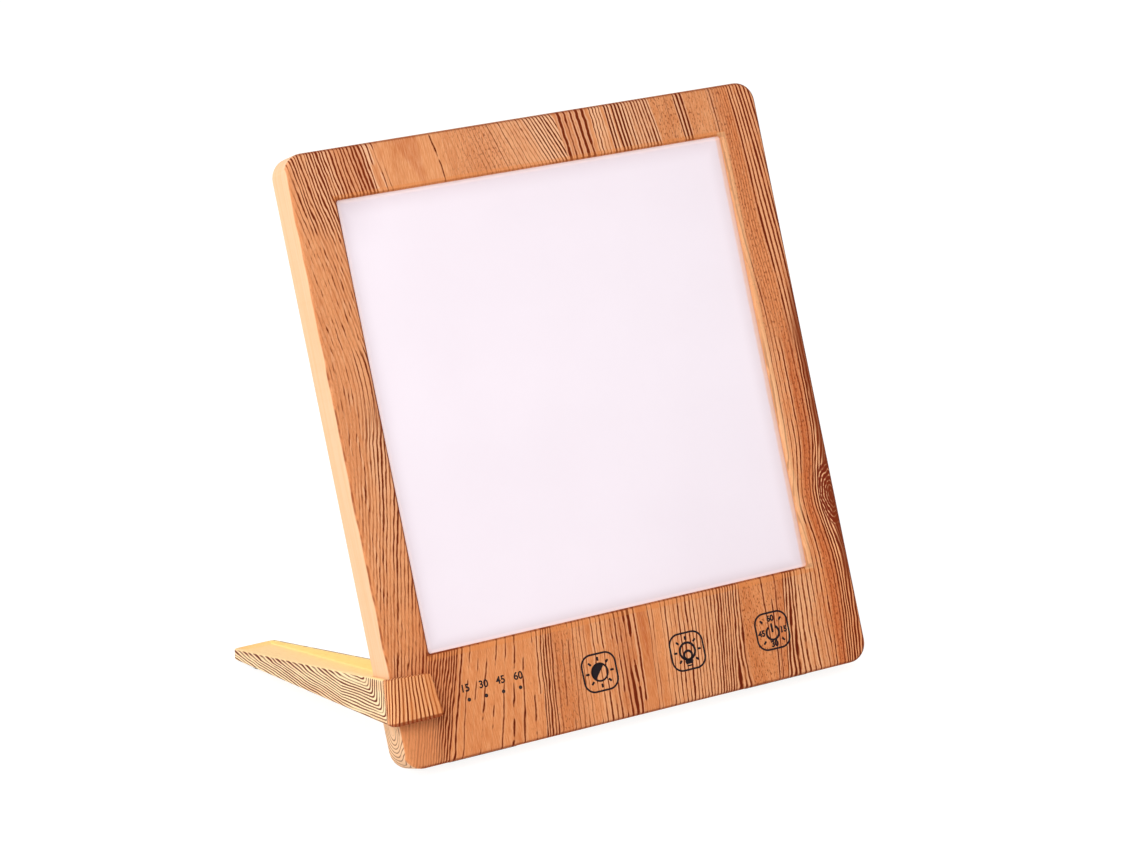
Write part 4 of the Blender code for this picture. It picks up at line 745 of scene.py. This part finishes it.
def leg_print(name, colours):
    """The wood print on the leg: nested lines along its near side, and a fan across the lug."""
    finish = Finish(name, **PRINT_GLOSS)
    across, depth, up = finish.parts(finish.panel_point())
    wobble = finish.stretched(depth * 0.04, up * 0.12, across * 0.12) - 0.5
    front = depth.ramp(1.2, -0.6)
    outer = across.ramp(-0.3, -0.7).most(across.ramp(15.9, 16.3)).most(front)
    above = up - LEG_BOTTOM_AT_FACE - depth * LEG_BOTTOM_SLOPE
    under_rim = LEG_RIM_AT_FACE + depth * LEG_RIM_SLOPE - up
    far = depth.ramp(20.0, 70.0)

    turned = (depth + 3.0) * 0.55 + above * 0.14
    steeper = (depth - 45.0).most(0.0) * 0.1 + under_rim.ramp(3.0, 0.0) * far * 0.9
    nested = (above - steeper).math("SMOOTH_MIN", turned, 3.0)
    fanned = across + (up - 26.0) * 0.017 * (across - 9.7) - (depth + 4.2) * 0.8
    place = eased(nested, fanned, front) + wobble * (2.0 - front * 1.2)
    pitch = LEG_LINE_PITCH + front * LUG_PITCH_MORE
    count = place / pitch
    order = count.floor()
    off = abs(count.fraction() - 0.5) * pitch
    own = finish.chance(order + 17.0)
    patch = finish.stretched(order * 5.1, depth * 0.04, up * 0.1, 3.0)
    share = (own * 0.4 + 0.65) * patch.ramp(0.32, 0.52, 0.55, 1.0)
    share = share * outer * (1.0 - front * (across.ramp(12.0, 14.0) * 0.6).most(0.16))
    share = share * under_rim.ramp(0.1, 0.6).most(front)
    share = share * above.ramp(-0.5, 2.5, 0.75, 1.0).most(front)
    wide = share * 0.12 + 0.15 + front * 0.01 + under_rim.ramp(2.0, 0.2) * far * 0.12
    line = ((wide + 0.12 - off) / 0.22).clamped() * share
    edge = ((off - wide - 0.08) / 0.14).clamped() * share

    fine = finish.stretched(depth * 0.12, across * 1.5, up * 1.5, 3.0)
    cloud = finish.stretched(depth * 0.02, above * 0.12, across * 0.1)
    tray = finish.blend(across.ramp(14.2, 14.7), colours["tray"], colours["tray_wall"])
    in_tray = (1.0 - outer).most(under_rim.ramp(0.5, 0.1) * across.ramp(3.0, 1.0))
    brown = finish.blend(front * 0.05 + 0.55, colours["lip_shade"], colours["dark"])
    # Dark ticks of the print along the lug's upper edge, and a painted shadow line along its lower
    # edge
    lug_edge_ticks_and_painted_shadow = up.ramp(19.9, 19.2).most(up.ramp(35.4, 36.2) * (line + 0.3)) * front
    far_rim = under_rim.ramp(0.5, 0.0) * across.ramp(15.2, 15.8) * patch.ramp(0.35, 0.6, 0.2, 0.9)
    shown = finish.layered(
        colours["leg_side"],
        (cloud.ramp(0.45, 0.65) * 0.35, colours["light"]),
        (in_tray, tray),
        (front, colours["ground"]),
        (fine.ramp(0.45, 0.8) * (0.1 + front * 0.3), colours["red"]),
        (edge * (0.3 + front * 0.7), colours["pale"]),
        (line * 1.5, brown),
        (lug_edge_ticks_and_painted_shadow * 0.8, colours["lip_shade"]),
        (far_rim * (1.0 - front), colours["lip_shade"]),
        (front, LUG_TONE, "MULTIPLY"),
    )
    finish.set("Base Color", shown)
    finish.set("Roughness", fine.ramp(0.3, 0.7, 0.46, 0.58))
    finish.bump(fine, 0.2, 0.00006)
    return finish.material


def moulded(name, colour, roughness=0.45, grain=14.0, depth=0.00004, tint=0.06):
    """Moulded plastic: a fine spark texture, with a slight drift of its tone."""
    finish = Finish(name)
    point = finish.point()
    texture = finish.noise(point, grain * 0.2, 3.0, 0.6)
    drift = finish.noise(point, 0.03)
    darker = tuple(c * (1.0 - 2.0 * tint) for c in colour)
    finish.set("Base Color", finish.blend(drift.ramp(0.3, 0.7), colour, darker))
    finish.set("Roughness", texture.ramp(0.3, 0.7, roughness - 0.05, roughness + 0.08))
    finish.bump(texture, 0.3, depth)
    return finish.material


def rolled_metal(name, colour, roughness=0.35):
    """Rolled or plated metal with fine marks along one way."""
    finish = Finish(name, Metallic=1.0)
    point = finish.point()
    x, y, z = finish.parts(point)
    marks = finish.stretched(x * 0.15, y * 4.0, z * 4.0, 3.0, 0.6)
    cloud = finish.noise(point, 0.05)
    darker = tuple(c * 0.8 for c in colour)
    finish.set("Base Color", finish.blend(marks.ramp(0.3, 0.7) * 0.6, colour, darker))
    finish.set("Roughness", (marks * 0.2 + cloud * 0.15) + (roughness - 0.15))
    finish.bump(marks, 0.15, 0.00002)
    return finish.material


def opal(name, colour, shade_colour, painted_lip_reflection_colour, painted_edge_glow_colour):
    """The window's opal sheet, unlit: painted soft shade near its edges, a painted warm reflection
    of the wood at its right edge, and a faint painted glow along its left, upper and lower edges.
    """
    finish = Finish(name, Specular_IOR_Level=WINDOW_GLOSS)
    point = finish.panel_point()
    across, depth, up = finish.parts(point)
    cloud = finish.noise(point, 0.012)
    texture = finish.noise(point, 3.0)
    # Painted shade: darker towards the window's edges and its upper left corner, as the recess
    # shades it
    left = across.ramp(WINDOW_LEFT + 7.0, WINDOW_LEFT - 1.0)
    right = across.ramp(WINDOW_RIGHT - 8.0, WINDOW_RIGHT - 1.0)
    top = up.ramp(WINDOW_TOP - 9.0, WINDOW_TOP + 1.0)
    low = up.ramp(WINDOW_BOTTOM + 6.0, WINDOW_BOTTOM - 1.0)
    corner = across.ramp(WINDOW_LEFT + 22.0, WINDOW_LEFT) * up.ramp(WINDOW_TOP - 22.0, WINDOW_TOP)
    uneven = finish.noise(finish.joined(0.0, 0.0, up), 0.12).ramp(0.35, 0.65, -0.1, 0.1)
    # Painted reflection of the wood lip along the window's right edge
    painted_lip_reflection = (across + uneven).ramp(WINDOW_RIGHT - 2.2, WINDOW_RIGHT - 1.2)
    tone = finish.layered(
        colour,
        (cloud.ramp(0.3, 0.7) * 0.12, shade_colour),
        (left.most(right).most(top).most(low) * 0.45 + corner * 0.5, shade_colour),
        (painted_lip_reflection * 0.5, painted_lip_reflection_colour),
    )
    # Painted light: a faint glow along the left, upper and lower edges that lifts the recess's
    # shade
    rim = across.ramp(WINDOW_LEFT + 2.4, WINDOW_LEFT + 0.4)
    rim = rim.most(up.ramp(WINDOW_TOP - 2.0, WINDOW_TOP - 0.6) * 0.8)
    rim = rim.most(up.ramp(WINDOW_BOTTOM + 1.4, WINDOW_BOTTOM + 0.4) * 0.6)
    finish.set("Base Color", tone)
    finish.set("Emission Color", finish.blend(rim, (0.0, 0.0, 0.0), painted_edge_glow_colour))
    finish.set("Emission Strength", 1.0)
    finish.set("Roughness", texture.ramp(0.3, 0.7, 0.38, 0.46))
    finish.bump(texture, 0.1, 0.00002)
    return finish.material


def ink(name, colour):
    """Screen-printed ink, a little uneven."""
    finish = Finish(name, Specular_IOR_Level=INK_GLOSS)
    grain = finish.noise(finish.panel_point(), 3.0, 3.0)
    paler = tuple(c * 1.8 + 0.01 for c in colour)
    finish.set("Base Color", finish.blend(grain.ramp(0.5, 0.85) * 0.4, colour, paler))
    finish.set("Roughness", grain.ramp(0.3, 0.7, 0.42, 0.6))
    finish.bump(grain, 0.2, 0.00002)
    return finish.material


# Modelling


def clear_choice():
    """Leaves edit mode with nothing selected."""
    if bpy.context.object and bpy.context.object.mode != "OBJECT":
        bpy.ops.object.mode_set(mode="OBJECT")
    bpy.ops.object.select_all(action="DESELECT")


def choose(piece, *more):
    clear_choice()
    for one in (piece, *more):
        one.select_set(True)
    bpy.context.view_layer.objects.active = piece


def bake(piece):
    """Puts a piece's place, turn and scale into its mesh."""
    choose(piece)
    bpy.ops.object.transform_apply(location=True, rotation=True, scale=True)
    return piece


def remove(piece):
    choose(piece)
    bpy.ops.object.delete()


def put_on_panel(piece, place):
    """Sets a piece modelled at the origin on the panel, with its place in its mesh."""
    choose(piece)
    piece.matrix_world = PANEL_PLACE @ Matrix.Translation(Vector(place) * MM) @ piece.matrix_world
    bake(piece)


def settle(piece, name, material, body="lamp"):
    """Names a finished piece, gives it its material, and sets it riding on a body."""
    piece.name = name
    piece.data.name = name
    piece.data.materials.clear()
    piece.data.materials.append(material)
    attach(piece, body)


def in_edit(piece):
    """Edit mode on a piece, with all of it selected."""
    choose(piece)
    bpy.ops.object.mode_set(mode="EDIT")
    bpy.ops.mesh.select_mode(type="FACE")
    bpy.ops.mesh.select_all(action="SELECT")


def pick_faces(piece, test):
    """Selects the faces that a test on centre and normal accepts, in edit mode."""
    bpy.ops.mesh.select_all(action="DESELECT")
    bpy.ops.object.mode_set(mode="OBJECT")
    for face in piece.data.polygons:
        face.select = bool(test(face.center, face.normal))
    bpy.ops.object.mode_set(mode="EDIT")


def pick_edges(piece, test):
    """Selects the edges whose two ends a test accepts, in edit mode."""
    bpy.ops.mesh.select_mode(type="EDGE")
    bpy.ops.mesh.select_all(action="DESELECT")
    bpy.ops.object.mode_set(mode="OBJECT")
    points = piece.data.vertices
    for edge in piece.data.edges:
        a, b = (points[i].co for i in edge.vertices)
        edge.select = bool(test(a, b))
    bpy.ops.object.mode_set(mode="EDIT")


def thick_print(piece, thickness):
    """Gives a flat print its ink thickness, towards the front."""
    in_edit(piece)
    bpy.ops.mesh.normals_make_consistent(inside=False)
    bpy.ops.mesh.extrude_region_move(TRANSFORM_OT_translate={"value": (0.0, -thickness * MM, 0.0)})
    bpy.ops.mesh.select_all(action="SELECT")
    bpy.ops.mesh.normals_make_consistent(inside=False)
    bpy.ops.object.mode_set(mode="OBJECT")


def join_all(first, *others):
    """Joins several meshes into the first."""
    choose(first, *others)
    bpy.ops.object.join()
    return first


def combine(piece, other, operation):
    """Takes another mesh out of a piece, or unites them, and removes the other."""
    choose(piece)
    step = piece.modifiers.new("combine", "BOOLEAN")
    step.operation = operation
    step.solver = "EXACT"
    step.object = other
    bpy.ops.object.modifier_apply(modifier=step.name)
    remove(other)


def disc(radius, sides=48):
    """A flat disc in the plane of the panel's face."""
    bpy.ops.mesh.primitive_circle_add(
        vertices=sides, radius=radius * MM, fill_type="NGON", location=(0.0, 0.0, 0.0),
        rotation=FLAT_TURN,
    )
    return bake(bpy.context.object)


def ring(radius, line, place, sides=56, gap=0.0):
    """A printed ring; gap is the half angle left open at its top."""
    piece = disc(radius + line / 2, sides)
    in_edit(piece)
    bpy.ops.mesh.inset(thickness=line * MM, use_even_offset=True)
    bpy.ops.mesh.delete(type="FACE")
    if gap:
        pick_faces(piece, lambda c, n: abs(math.atan2(c.x, c.z)) < gap)
        bpy.ops.mesh.delete(type="FACE")
    bpy.ops.mesh.select_all(action="SELECT")
    bpy.ops.transform.translate(value=(place[0] * MM, 0.0, place[1] * MM))
    bpy.ops.object.mode_set(mode="OBJECT")
    return piece


def stroke(length, line, place, angle=0.0):
    """A printed stroke with rounded corners, standing at an angle from upright."""
    bpy.ops.mesh.primitive_plane_add(size=1.0, rotation=FLAT_TURN)
    piece = bpy.context.object
    piece.scale = (line * MM, length * MM, 1.0)
    bake(piece)
    in_edit(piece)
    bpy.ops.mesh.bevel(offset=line * CORNER_SHARE * MM, segments=3, affect="VERTICES")
    bpy.ops.object.mode_set(mode="OBJECT")
    piece.rotation_euler = (0.0, angle, 0.0)
    piece.location = (place[0] * MM, 0.0, place[1] * MM)
    return bake(piece)


def key_outline(size, corner, line):
    """A rounded square outline: a plane with bevelled corners, inset and opened."""
    bpy.ops.mesh.primitive_plane_add(size=size * MM, rotation=FLAT_TURN)
    piece = bake(bpy.context.object)
    in_edit(piece)
    bpy.ops.mesh.bevel(offset=corner * MM, segments=12, affect="VERTICES")
    bpy.ops.mesh.select_mode(type="FACE")
    bpy.ops.mesh.select_all(action="SELECT")
    bpy.ops.mesh.inset(thickness=line * MM, use_even_offset=True)
    bpy.ops.mesh.delete(type="FACE")
    bpy.ops.object.mode_set(mode="OBJECT")
    return piece


def number(words, height, place, boldness=NUMBER_BOLDNESS):
    """A printed number from the plain default face, centred on its place."""
    bpy.ops.object.text_add(rotation=FLAT_TURN)
    piece = bpy.context.object
    piece.data.body = words
    piece.data.size = height * MM / FIGURE_SHARE
    piece.data.align_x = "CENTER"
    piece.data.align_y = "CENTER"
    piece.data.resolution_u = 6
    piece.data.offset = height * boldness * MM
    bpy.ops.object.convert(target="MESH")
    piece = bpy.context.object
    piece.scale = (NUMBER_BREADTH, 1.0, 1.0)
    piece.location = (place[0] * MM, 0.0, place[1] * MM)
    return bake(piece)


def rays(line, distance, length, share, angles):
    """Short strokes standing round a centre, at angles from straight up."""
    made = []
    for degrees in angles:
        turn = math.radians(degrees)
        place = (distance * math.sin(turn), distance * math.cos(turn))
        made.append(stroke(length, line * share, place, turn))
    return made


def half_disc(radius, turn):
    """The filled half of the brightness sign, on the upper left of its slanting line."""
    piece = disc(radius)
    in_edit(piece)
    normal = (math.cos(turn), 0.0, -math.sin(turn))
    bpy.ops.mesh.bisect(plane_co=(0.0, 0.0, 0.0), plane_no=normal, clear_outer=True)
    bpy.ops.object.mode_set(mode="OBJECT")
    return piece


# Settings


def length_setting(label, use, default, least, greatest):
    """A length that a user can change."""
    return bpy.props.FloatProperty(
        name=label, description=f"{use}, in millimetres", default=default, min=least, max=greatest
    )


def colour_setting(label, use, *picked):
    """A colour that a user can change, given as picked on screen."""
    return bpy.props.FloatVectorProperty(
        name=label, description=use, subtype="COLOR", default=shade(*picked), min=0.0, max=1.0
    )


def power_setting(label, use, default):
    """A lamp's power that a user can change."""
    return bpy.props.FloatProperty(
        name=label, description=f"{use}, in watts", default=default, min=0.0, unit="POWER"
    )


class LampPrintSizes(bpy.types.PropertyGroup):
    """Sizes of the printed keys and numbers."""

    outline: length_setting("Key outline", "Side of a key's printed outline", 15.3, 8.0, 20.0)
    corner: length_setting("Outline corner", "Corner radius of a key's outline", 4.7, 0.5, 8.0)
    line: length_setting("Print line", "Width of the printed lines", 0.76, 0.2, 1.5)
    number: length_setting("Number height", "Height of the numbers over the dots", 3.0, 1.0, 5.0)
    ink: length_setting("Ink thickness", "Thickness of the printed ink", 0.03, 0.01, 0.2)


class LampColours(bpy.types.PropertyGroup):
    """Colours of the lamp's outside."""

    ground: colour_setting("Wood ground", "Main tone of the wood print", 216, 138, 86)
    light: colour_setting("Wood light", "Lighter tone of the wood print", 231, 156, 103)
    pale: colour_setting("Wood pale", "Pale edges of the grain lines", 255, 207, 166)
    red: colour_setting("Wood red", "Reddish bands of the wood print", 188, 93, 48)
    dark: colour_setting("Wood dark", "Dark grain lines", 84, 15, 0)
    wall: colour_setting("Side wall", "Pale tone of the side walls", 239, 196, 155)
    # Darker drift of the side walls, and also the painted highlight on the window's right lip
    wall_dark: colour_setting("Side wall shade", "Darker drift of the side walls", 238, 183, 133)
    tray: colour_setting("Leg tray", "Floor of the leg's tray", 255, 216, 156)
    tray_wall: colour_setting("Leg tray wall", "Far wall of the leg's tray", 251, 222, 150)
    leg_side: colour_setting("Leg side", "Pale tone of the leg's outer sides", 254, 228, 180)
    # Brown of the print's pores and grain lines, also used for painted shade on the window's lips
    # and the lug's lower edge, and for the darker outer rim
    lip_shade: colour_setting("Lip shade", "Shaded lips and rim of the bezel", 128, 50, 20)
    # Painted light on the window's lips
    lip: colour_setting("Lip", "Lit part of the window's lips", 226, 138, 76)
    knot: colour_setting("Wood knot", "Red brown of the knot", 124, 44, 30)
    window: colour_setting("Window", "Opal window, unlit", 250, 239, 247)
    cover: colour_setting("Rear cover", "Moulded rear cover", 236, 222, 200)
    ink: colour_setting("Ink", "Printed keys and numbers", 28, 17, 22)


class LampStageSettings(bpy.types.PropertyGroup):
    """Light and camera."""

    world: bpy.props.FloatProperty(
        name="Room light", description="Strength of the light from all round", default=0.54, min=0.0
    )
    key: power_setting("Key light", "Power of the large lamp at the upper left", 13.6)
    side: power_setting("Side light", "Power of the small lamp at the left", 2.0)
    back: power_setting("Back light", "Power of the soft lamp behind the leg", 4.0)
    lens: length_setting("Lens", "Focal length on a 36 mm wide sensor", 107.25, 20.0, 300.0)


def setting_names(group):
    """The names of a group's own settings."""
    return [name for name in group.bl_rna.properties.keys() if name not in {"rna_type", "name"}]


def lamp_colours():
    """The colours as plain tuples."""
    group = bpy.context.scene.lamp_colours
    return {name: tuple(getattr(group, name)) for name in setting_names(group)}


def dress(nodes, material):
    """Gives CAD nodes a finish."""
    for name in nodes:
        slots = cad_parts[name].material_slots
        if not slots:
            raise RuntimeError(f"{name} has no material slot")
        for one in slots:
            one.material = material


# Operators


class LAMP_OT_outside(bpy.types.Operator):
    """Finish the bezel, leg, window, cover and feet"""

    bl_idname = "lamp.outside"
    bl_label = "Outside finishes"

    def execute(self, context):
        tones = lamp_colours()
        dress(["front_frame"], wood_print("bezel_wood_print", tones))
        dress(["stand_leg"], leg_print("leg_wood_print", tones))
        # The window's opal, with painted shade, a painted reflection and a painted glow at its
        # edges
        window = opal(
            "window_opal", tones["window"], shade_colour=shade(222, 208, 216),
            painted_lip_reflection_colour=shade(234, 180, 136), painted_edge_glow_colour=(0.26, 0.2, 0.17),
        )
        dress(["diffuser"], window)
        cover = moulded("cover_plastic", tones["cover"], roughness=0.5, tint=0.008)
        dress(["rear_cover"], cover)
        black = shade(46, 44, 44)
        rubber = moulded("foot_rubber_black", black, 0.75, grain=8.0, depth=0.00008, tint=0.1)
        dress(["panel_foot_left", "panel_foot_right", "stand_foot"], rubber)
        return {"FINISHED"}


class LAMP_OT_inside(bpy.types.Operator):
    """Finish the light stack, board, parts, leads, springs and screws"""

    bl_idname = "lamp.inside"
    bl_label = "Inside finishes"

    def execute(self, context):
        strip, connector = (shade(238, 238, 232), 0.4), (shade(232, 224, 200), 0.45)
        chip, lead = (shade(30, 30, 32), 0.5), (shade(178, 30, 26), 0.4)
        plastics = {
            "diffusion_film": (shade(240, 240, 244), 0.5),
            "reflector_sheet": (shade(246, 246, 246), 0.35),
            "led_strip_left": strip,
            "led_strip_right": strip,
            "main_board": (shade(24, 92, 56), 0.35),
            "connector_left": connector,
            "connector_right": connector,
            "controller_chip": chip,
            "driver_chip": chip,
            "inductor": (shade(58, 56, 58), 0.7),
            "lead_left": lead,
            "lead_right": lead,
            "dc_socket": (shade(28, 28, 30), 0.45),
        }
        for node, (colour, roughness) in plastics.items():
            dress([node], moulded(f"{node}_finish", colour, roughness))
        guide = moulded("guide_acrylic", shade(226, 236, 238), 0.12)
        dress(["light_guide"], guide)
        pipe = moulded("pipe_acrylic", shade(34, 16, 14), 0.5)
        dress(["indicator_light_pipe"], pipe)
        package = moulded("indicator_package", shade(240, 232, 190), 0.3)
        dress([f"indicator_led_{n}" for n in range(1, 5)], package)
        dress(["back_plate"], rolled_metal("plate_aluminium", shade(200, 202, 206), 0.4))
        dress(["capacitor"], rolled_metal("can_aluminium", shade(190, 192, 198), 0.3))
        steel = rolled_metal("spring_steel_wire", shade(170, 170, 176), 0.3)
        dress(["touch_spring_light", "touch_spring_colour", "touch_spring_timer"], steel)
        zinc = rolled_metal("screw_zinc", shade(186, 188, 194), 0.35)
        screws = [f"{kind}_screw_{n}" for kind in ("plate", "board") for n in range(1, 5)]
        dress(screws, zinc)
        return {"FINISHED"}


class LAMP_OT_keys(bpy.types.Operator):
    """Print the three key outlines with their signs"""

    bl_idname = "lamp.keys"
    bl_label = "Printed keys"

    def execute(self, context):
        sizes = context.scene.lamp_print_sizes
        material = ink("key_ink", lamp_colours()["ink"])
        line = sizes.line
        signs = {
            "light": self.brightness_sign,
            "colour": self.bulb_sign,
            "timer": self.power_sign,
        }
        for name, across in KEYS.items():
            outline = key_outline(sizes.outline, sizes.corner, line)
            piece = join_all(outline, *signs[name](line))
            thick_print(piece, sizes.ink)
            put_on_panel(piece, (across, INK_SINK, KEY_ROW))
            settle(piece, f"key_print_{name}", material)
        return {"FINISHED"}

    def brightness_sign(self, line):
        return [
            ring(BRIGHTNESS_RADIUS, line, (0.0, 0.0)),
            half_disc(BRIGHTNESS_RADIUS, BRIGHTNESS_SLANT),
            *rays(line, *BRIGHTNESS_RAYS),
        ]

    def bulb_sign(self, line):
        made = [
            ring(BULB_RADIUS, line * BULB_LINE_SHARE, (0.0, 0.0)),
            ring(FILAMENT_RADIUS, line * FILAMENT_LINE_SHARE, (0.0, -FILAMENT_DROP)),
            *rays(line, *BULB_RAYS),
        ]
        for width, height, share in BULB_BASE:
            made.append(stroke(width, line * share, (0.0, height), QUARTER_TURN))
        return made

    def power_sign(self, line):
        thick = line * POWER_LINE_SHARE
        made = [
            ring(POWER_RADIUS, thick, (0.0, -POWER_DROP), gap=POWER_GAP),
            stroke(POWER_STROKE_LENGTH, thick, (0.0, POWER_STROKE_HEIGHT)),
            *rays(line, *POWER_RAYS),
        ]
        for words, place in DIAL_NUMBERS.items():
            made.append(number(words, DIAL_HEIGHT, place, DIAL_BOLDNESS))
        return made


class LAMP_OT_numbers(bpy.types.Operator):
    """Print the numbers over the indicator dots"""

    bl_idname = "lamp.numbers"
    bl_label = "Timer numbers"

    def execute(self, context):
        sizes = context.scene.lamp_print_sizes
        material = ink("number_ink", lamp_colours()["ink"])
        for words, across in INDICATORS.items():
            dot = (-NUMBER_SHIFT[words], DOT_ROW - NUMBER_ROW)
            printed = number(words, sizes.number, (0.0, 0.0))
            piece = join_all(printed, ring(DOT_RADIUS, DOT_LINE, dot, DOT_SIDES))
            thick_print(piece, sizes.ink)
            put_on_panel(piece, (across + NUMBER_SHIFT[words], INK_SINK, NUMBER_ROW))
            settle(piece, f"number_print_{words}", material)
        return {"FINISHED"}


class LAMP_OT_screws(bpy.types.Operator):
    """Model the cover screws with their cross recess"""

    bl_idname = "lamp.screws"
    bl_label = "Cover screws"

    def execute(self, context):
        material = rolled_metal("cover_screw_zinc", shade(186, 188, 194), 0.3)
        first = self.screw()
        for number_, (across, up) in enumerate(COVER_SCREWS, 1):
            choose(first)
            bpy.ops.object.duplicate(linked=False)
            piece = bpy.context.object
            piece.rotation_euler = (0.0, math.radians(SCREW_TURN_STEP * number_), 0.0)
            bake(piece)
            put_on_panel(piece, (across, SCREW_SEAT, up))
            settle(piece, f"cover_screw_head_{number_}", material)
            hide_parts(f"cover_screw_{number_}")
        remove(first)
        return {"FINISHED"}

    def screw(self):
        """A pan head with a crowned top, a cross recess and a shank that points to the front."""
        bpy.ops.mesh.primitive_cylinder_add(
            vertices=40, radius=HEAD_RADIUS * MM, depth=HEAD_HEIGHT * MM,
            location=(0.0, -HEAD_HEIGHT / 2 * MM, 0.0), rotation=FLAT_TURN,
        )
        piece = bake(bpy.context.object)
        in_edit(piece)
        pick_edges(piece, lambda a, b: abs(a.y) < NEAR and abs(b.y) < NEAR)
        bpy.ops.mesh.bevel(offset=HEAD_CROWN * MM, segments=5, affect="EDGES")
        bpy.ops.mesh.select_mode(type="FACE")
        pick_faces(piece, lambda c, n: n.y < -ALONG)
        bpy.ops.mesh.inset(thickness=(HEAD_RADIUS - SHANK_RADIUS) * MM)
        shank = (0.0, -SHANK_LENGTH * MM, 0.0)
        bpy.ops.mesh.extrude_region_move(TRANSFORM_OT_translate={"value": shank})
        bpy.ops.transform.resize(value=(SHANK_TAPER, 1.0, SHANK_TAPER))
        bpy.ops.object.mode_set(mode="OBJECT")
        combine(piece, self.cross_cutter(), "DIFFERENCE")
        choose(piece)
        bpy.ops.object.shade_smooth_by_angle(angle=CREASE)
        return piece

    def cross_cutter(self):
        """Two tapering arms at a right angle, which cut the recess."""
        arms = []
        for turn in (0.0, QUARTER_TURN):
            bpy.ops.mesh.primitive_cube_add(size=1.0)
            arm = bpy.context.object
            arm.scale = Vector(CROSS_ARM) * MM
            bake(arm)
            in_edit(arm)
            pick_faces(arm, lambda c, n: n.y < -ALONG)
            bpy.ops.transform.resize(value=CROSS_TAPER)
            bpy.ops.object.mode_set(mode="OBJECT")
            arm.rotation_euler = (0.0, turn, 0.0)
            arms.append(bake(arm))
        combine(*arms, "UNION")
        return arms[0]


class LAMP_OT_stage(bpy.types.Operator):
    """Set the floor, the soft light and the camera"""

    bl_idname = "lamp.stage"
    bl_label = "Stage"

    def execute(self, context):
        settings = context.scene.lamp_stage
        self.floor()
        self.world(settings.world)
        for name, (place, size) in LAMPS.items():
            self.lamp(f"{name}_light", place, size, getattr(settings, name))
        self.camera(settings.lens)
        context.scene.view_settings.view_transform = "Standard"
        return {"FINISHED"}

    def floor(self):
        bpy.ops.mesh.primitive_plane_add(size=FLOOR_SIZE, location=(0.0, 0.0, -FLOOR_DROP))
        floor = bpy.context.object
        floor.name = "floor"
        finish = Finish("floor_white", Roughness=0.9)
        finish.set("Base Color", FLOOR_TONE)
        glow = finish.node("ShaderNodeEmission", None, {"Strength": FLOOR_GLOW})
        shown = finish.mixed(finish.seen_directly() * FLOOR_GLOW_SHARE, finish.surface, glow)
        finish.put(finish.output.inputs["Surface"], shown)
        floor.data.materials.append(finish.material)

    def world(self, strength):
        world = bpy.data.worlds.new("studio")
        bpy.context.scene.world = world
        world.use_nodes = True
        graph = Graph(world.node_tree)
        room = graph.node("ShaderNodeBackground", None, {"Color": WHITE, "Strength": strength})
        white = graph.node("ShaderNodeBackground", None, {"Color": WHITE, "Strength": 1.0})
        shown = graph.mixed(graph.seen_directly(), room, white)
        graph.add("ShaderNodeOutputWorld", None, {"Surface": shown})

    def lamp(self, name, place, size, watts):
        bpy.ops.object.light_add(type="AREA", location=place)
        lamp = bpy.context.object
        lamp.name = name
        lamp.data.shape = "DISK"
        lamp.data.size = size
        lamp.data.energy = watts
        aim = LAMP_AIM - Vector(place)
        lamp.rotation_euler = aim.to_track_quat("-Z", "Y").to_euler()

    def camera(self, lens):
        bpy.ops.object.camera_add(location=CAMERA_PLACE, rotation=CAMERA_TURN)
        camera = bpy.context.object
        camera.name = "camera"
        camera.data.sensor_width = SENSOR_WIDTH
        camera.data.lens = lens
        camera.data.clip_start, camera.data.clip_end = CAMERA_RANGE
        bpy.context.scene.camera = camera


class LAMP_PT_panel(bpy.types.Panel):
    """The lamp's pieces, sizes and colours"""

    bl_label = "Light therapy lamp"
    bl_idname = "LAMP_PT_panel"
    bl_space_type = "VIEW_3D"
    bl_region_type = "UI"
    bl_category = "Lamp"

    def draw(self, context):
        layout = self.layout
        for group in ("lamp_print_sizes", "lamp_colours", "lamp_stage"):
            box = layout.box()
            settings = getattr(context.scene, group)
            for name in setting_names(settings):
                box.prop(settings, name)
        for step in STEPS:
            layout.operator(step.bl_idname)


STEPS = (
    LAMP_OT_outside, LAMP_OT_inside, LAMP_OT_keys, LAMP_OT_numbers, LAMP_OT_screws, LAMP_OT_stage,
)
GROUPS = {
    "lamp_print_sizes": LampPrintSizes,
    "lamp_colours": LampColours,
    "lamp_stage": LampStageSettings,
}


def register():
    for group in GROUPS.values():
        bpy.utils.register_class(group)
    for step in (*STEPS, LAMP_PT_panel):
        bpy.utils.register_class(step)
    for name, group in GROUPS.items():
        setattr(bpy.types.Scene, name, bpy.props.PointerProperty(type=group))


def unregister():
    for name in GROUPS:
        delattr(bpy.types.Scene, name)
    for step in reversed((*STEPS, LAMP_PT_panel)):
        bpy.utils.unregister_class(step)
    for group in reversed(list(GROUPS.values())):
        bpy.utils.unregister_class(group)


def main():
    register()
    bpy.ops.lamp.outside()
    bpy.ops.lamp.inside()
    bpy.ops.lamp.keys()
    bpy.ops.lamp.numbers()
    bpy.ops.lamp.screws()
    bpy.ops.lamp.stage()
    clear_choice()


if __name__ == "__main__":
    main()
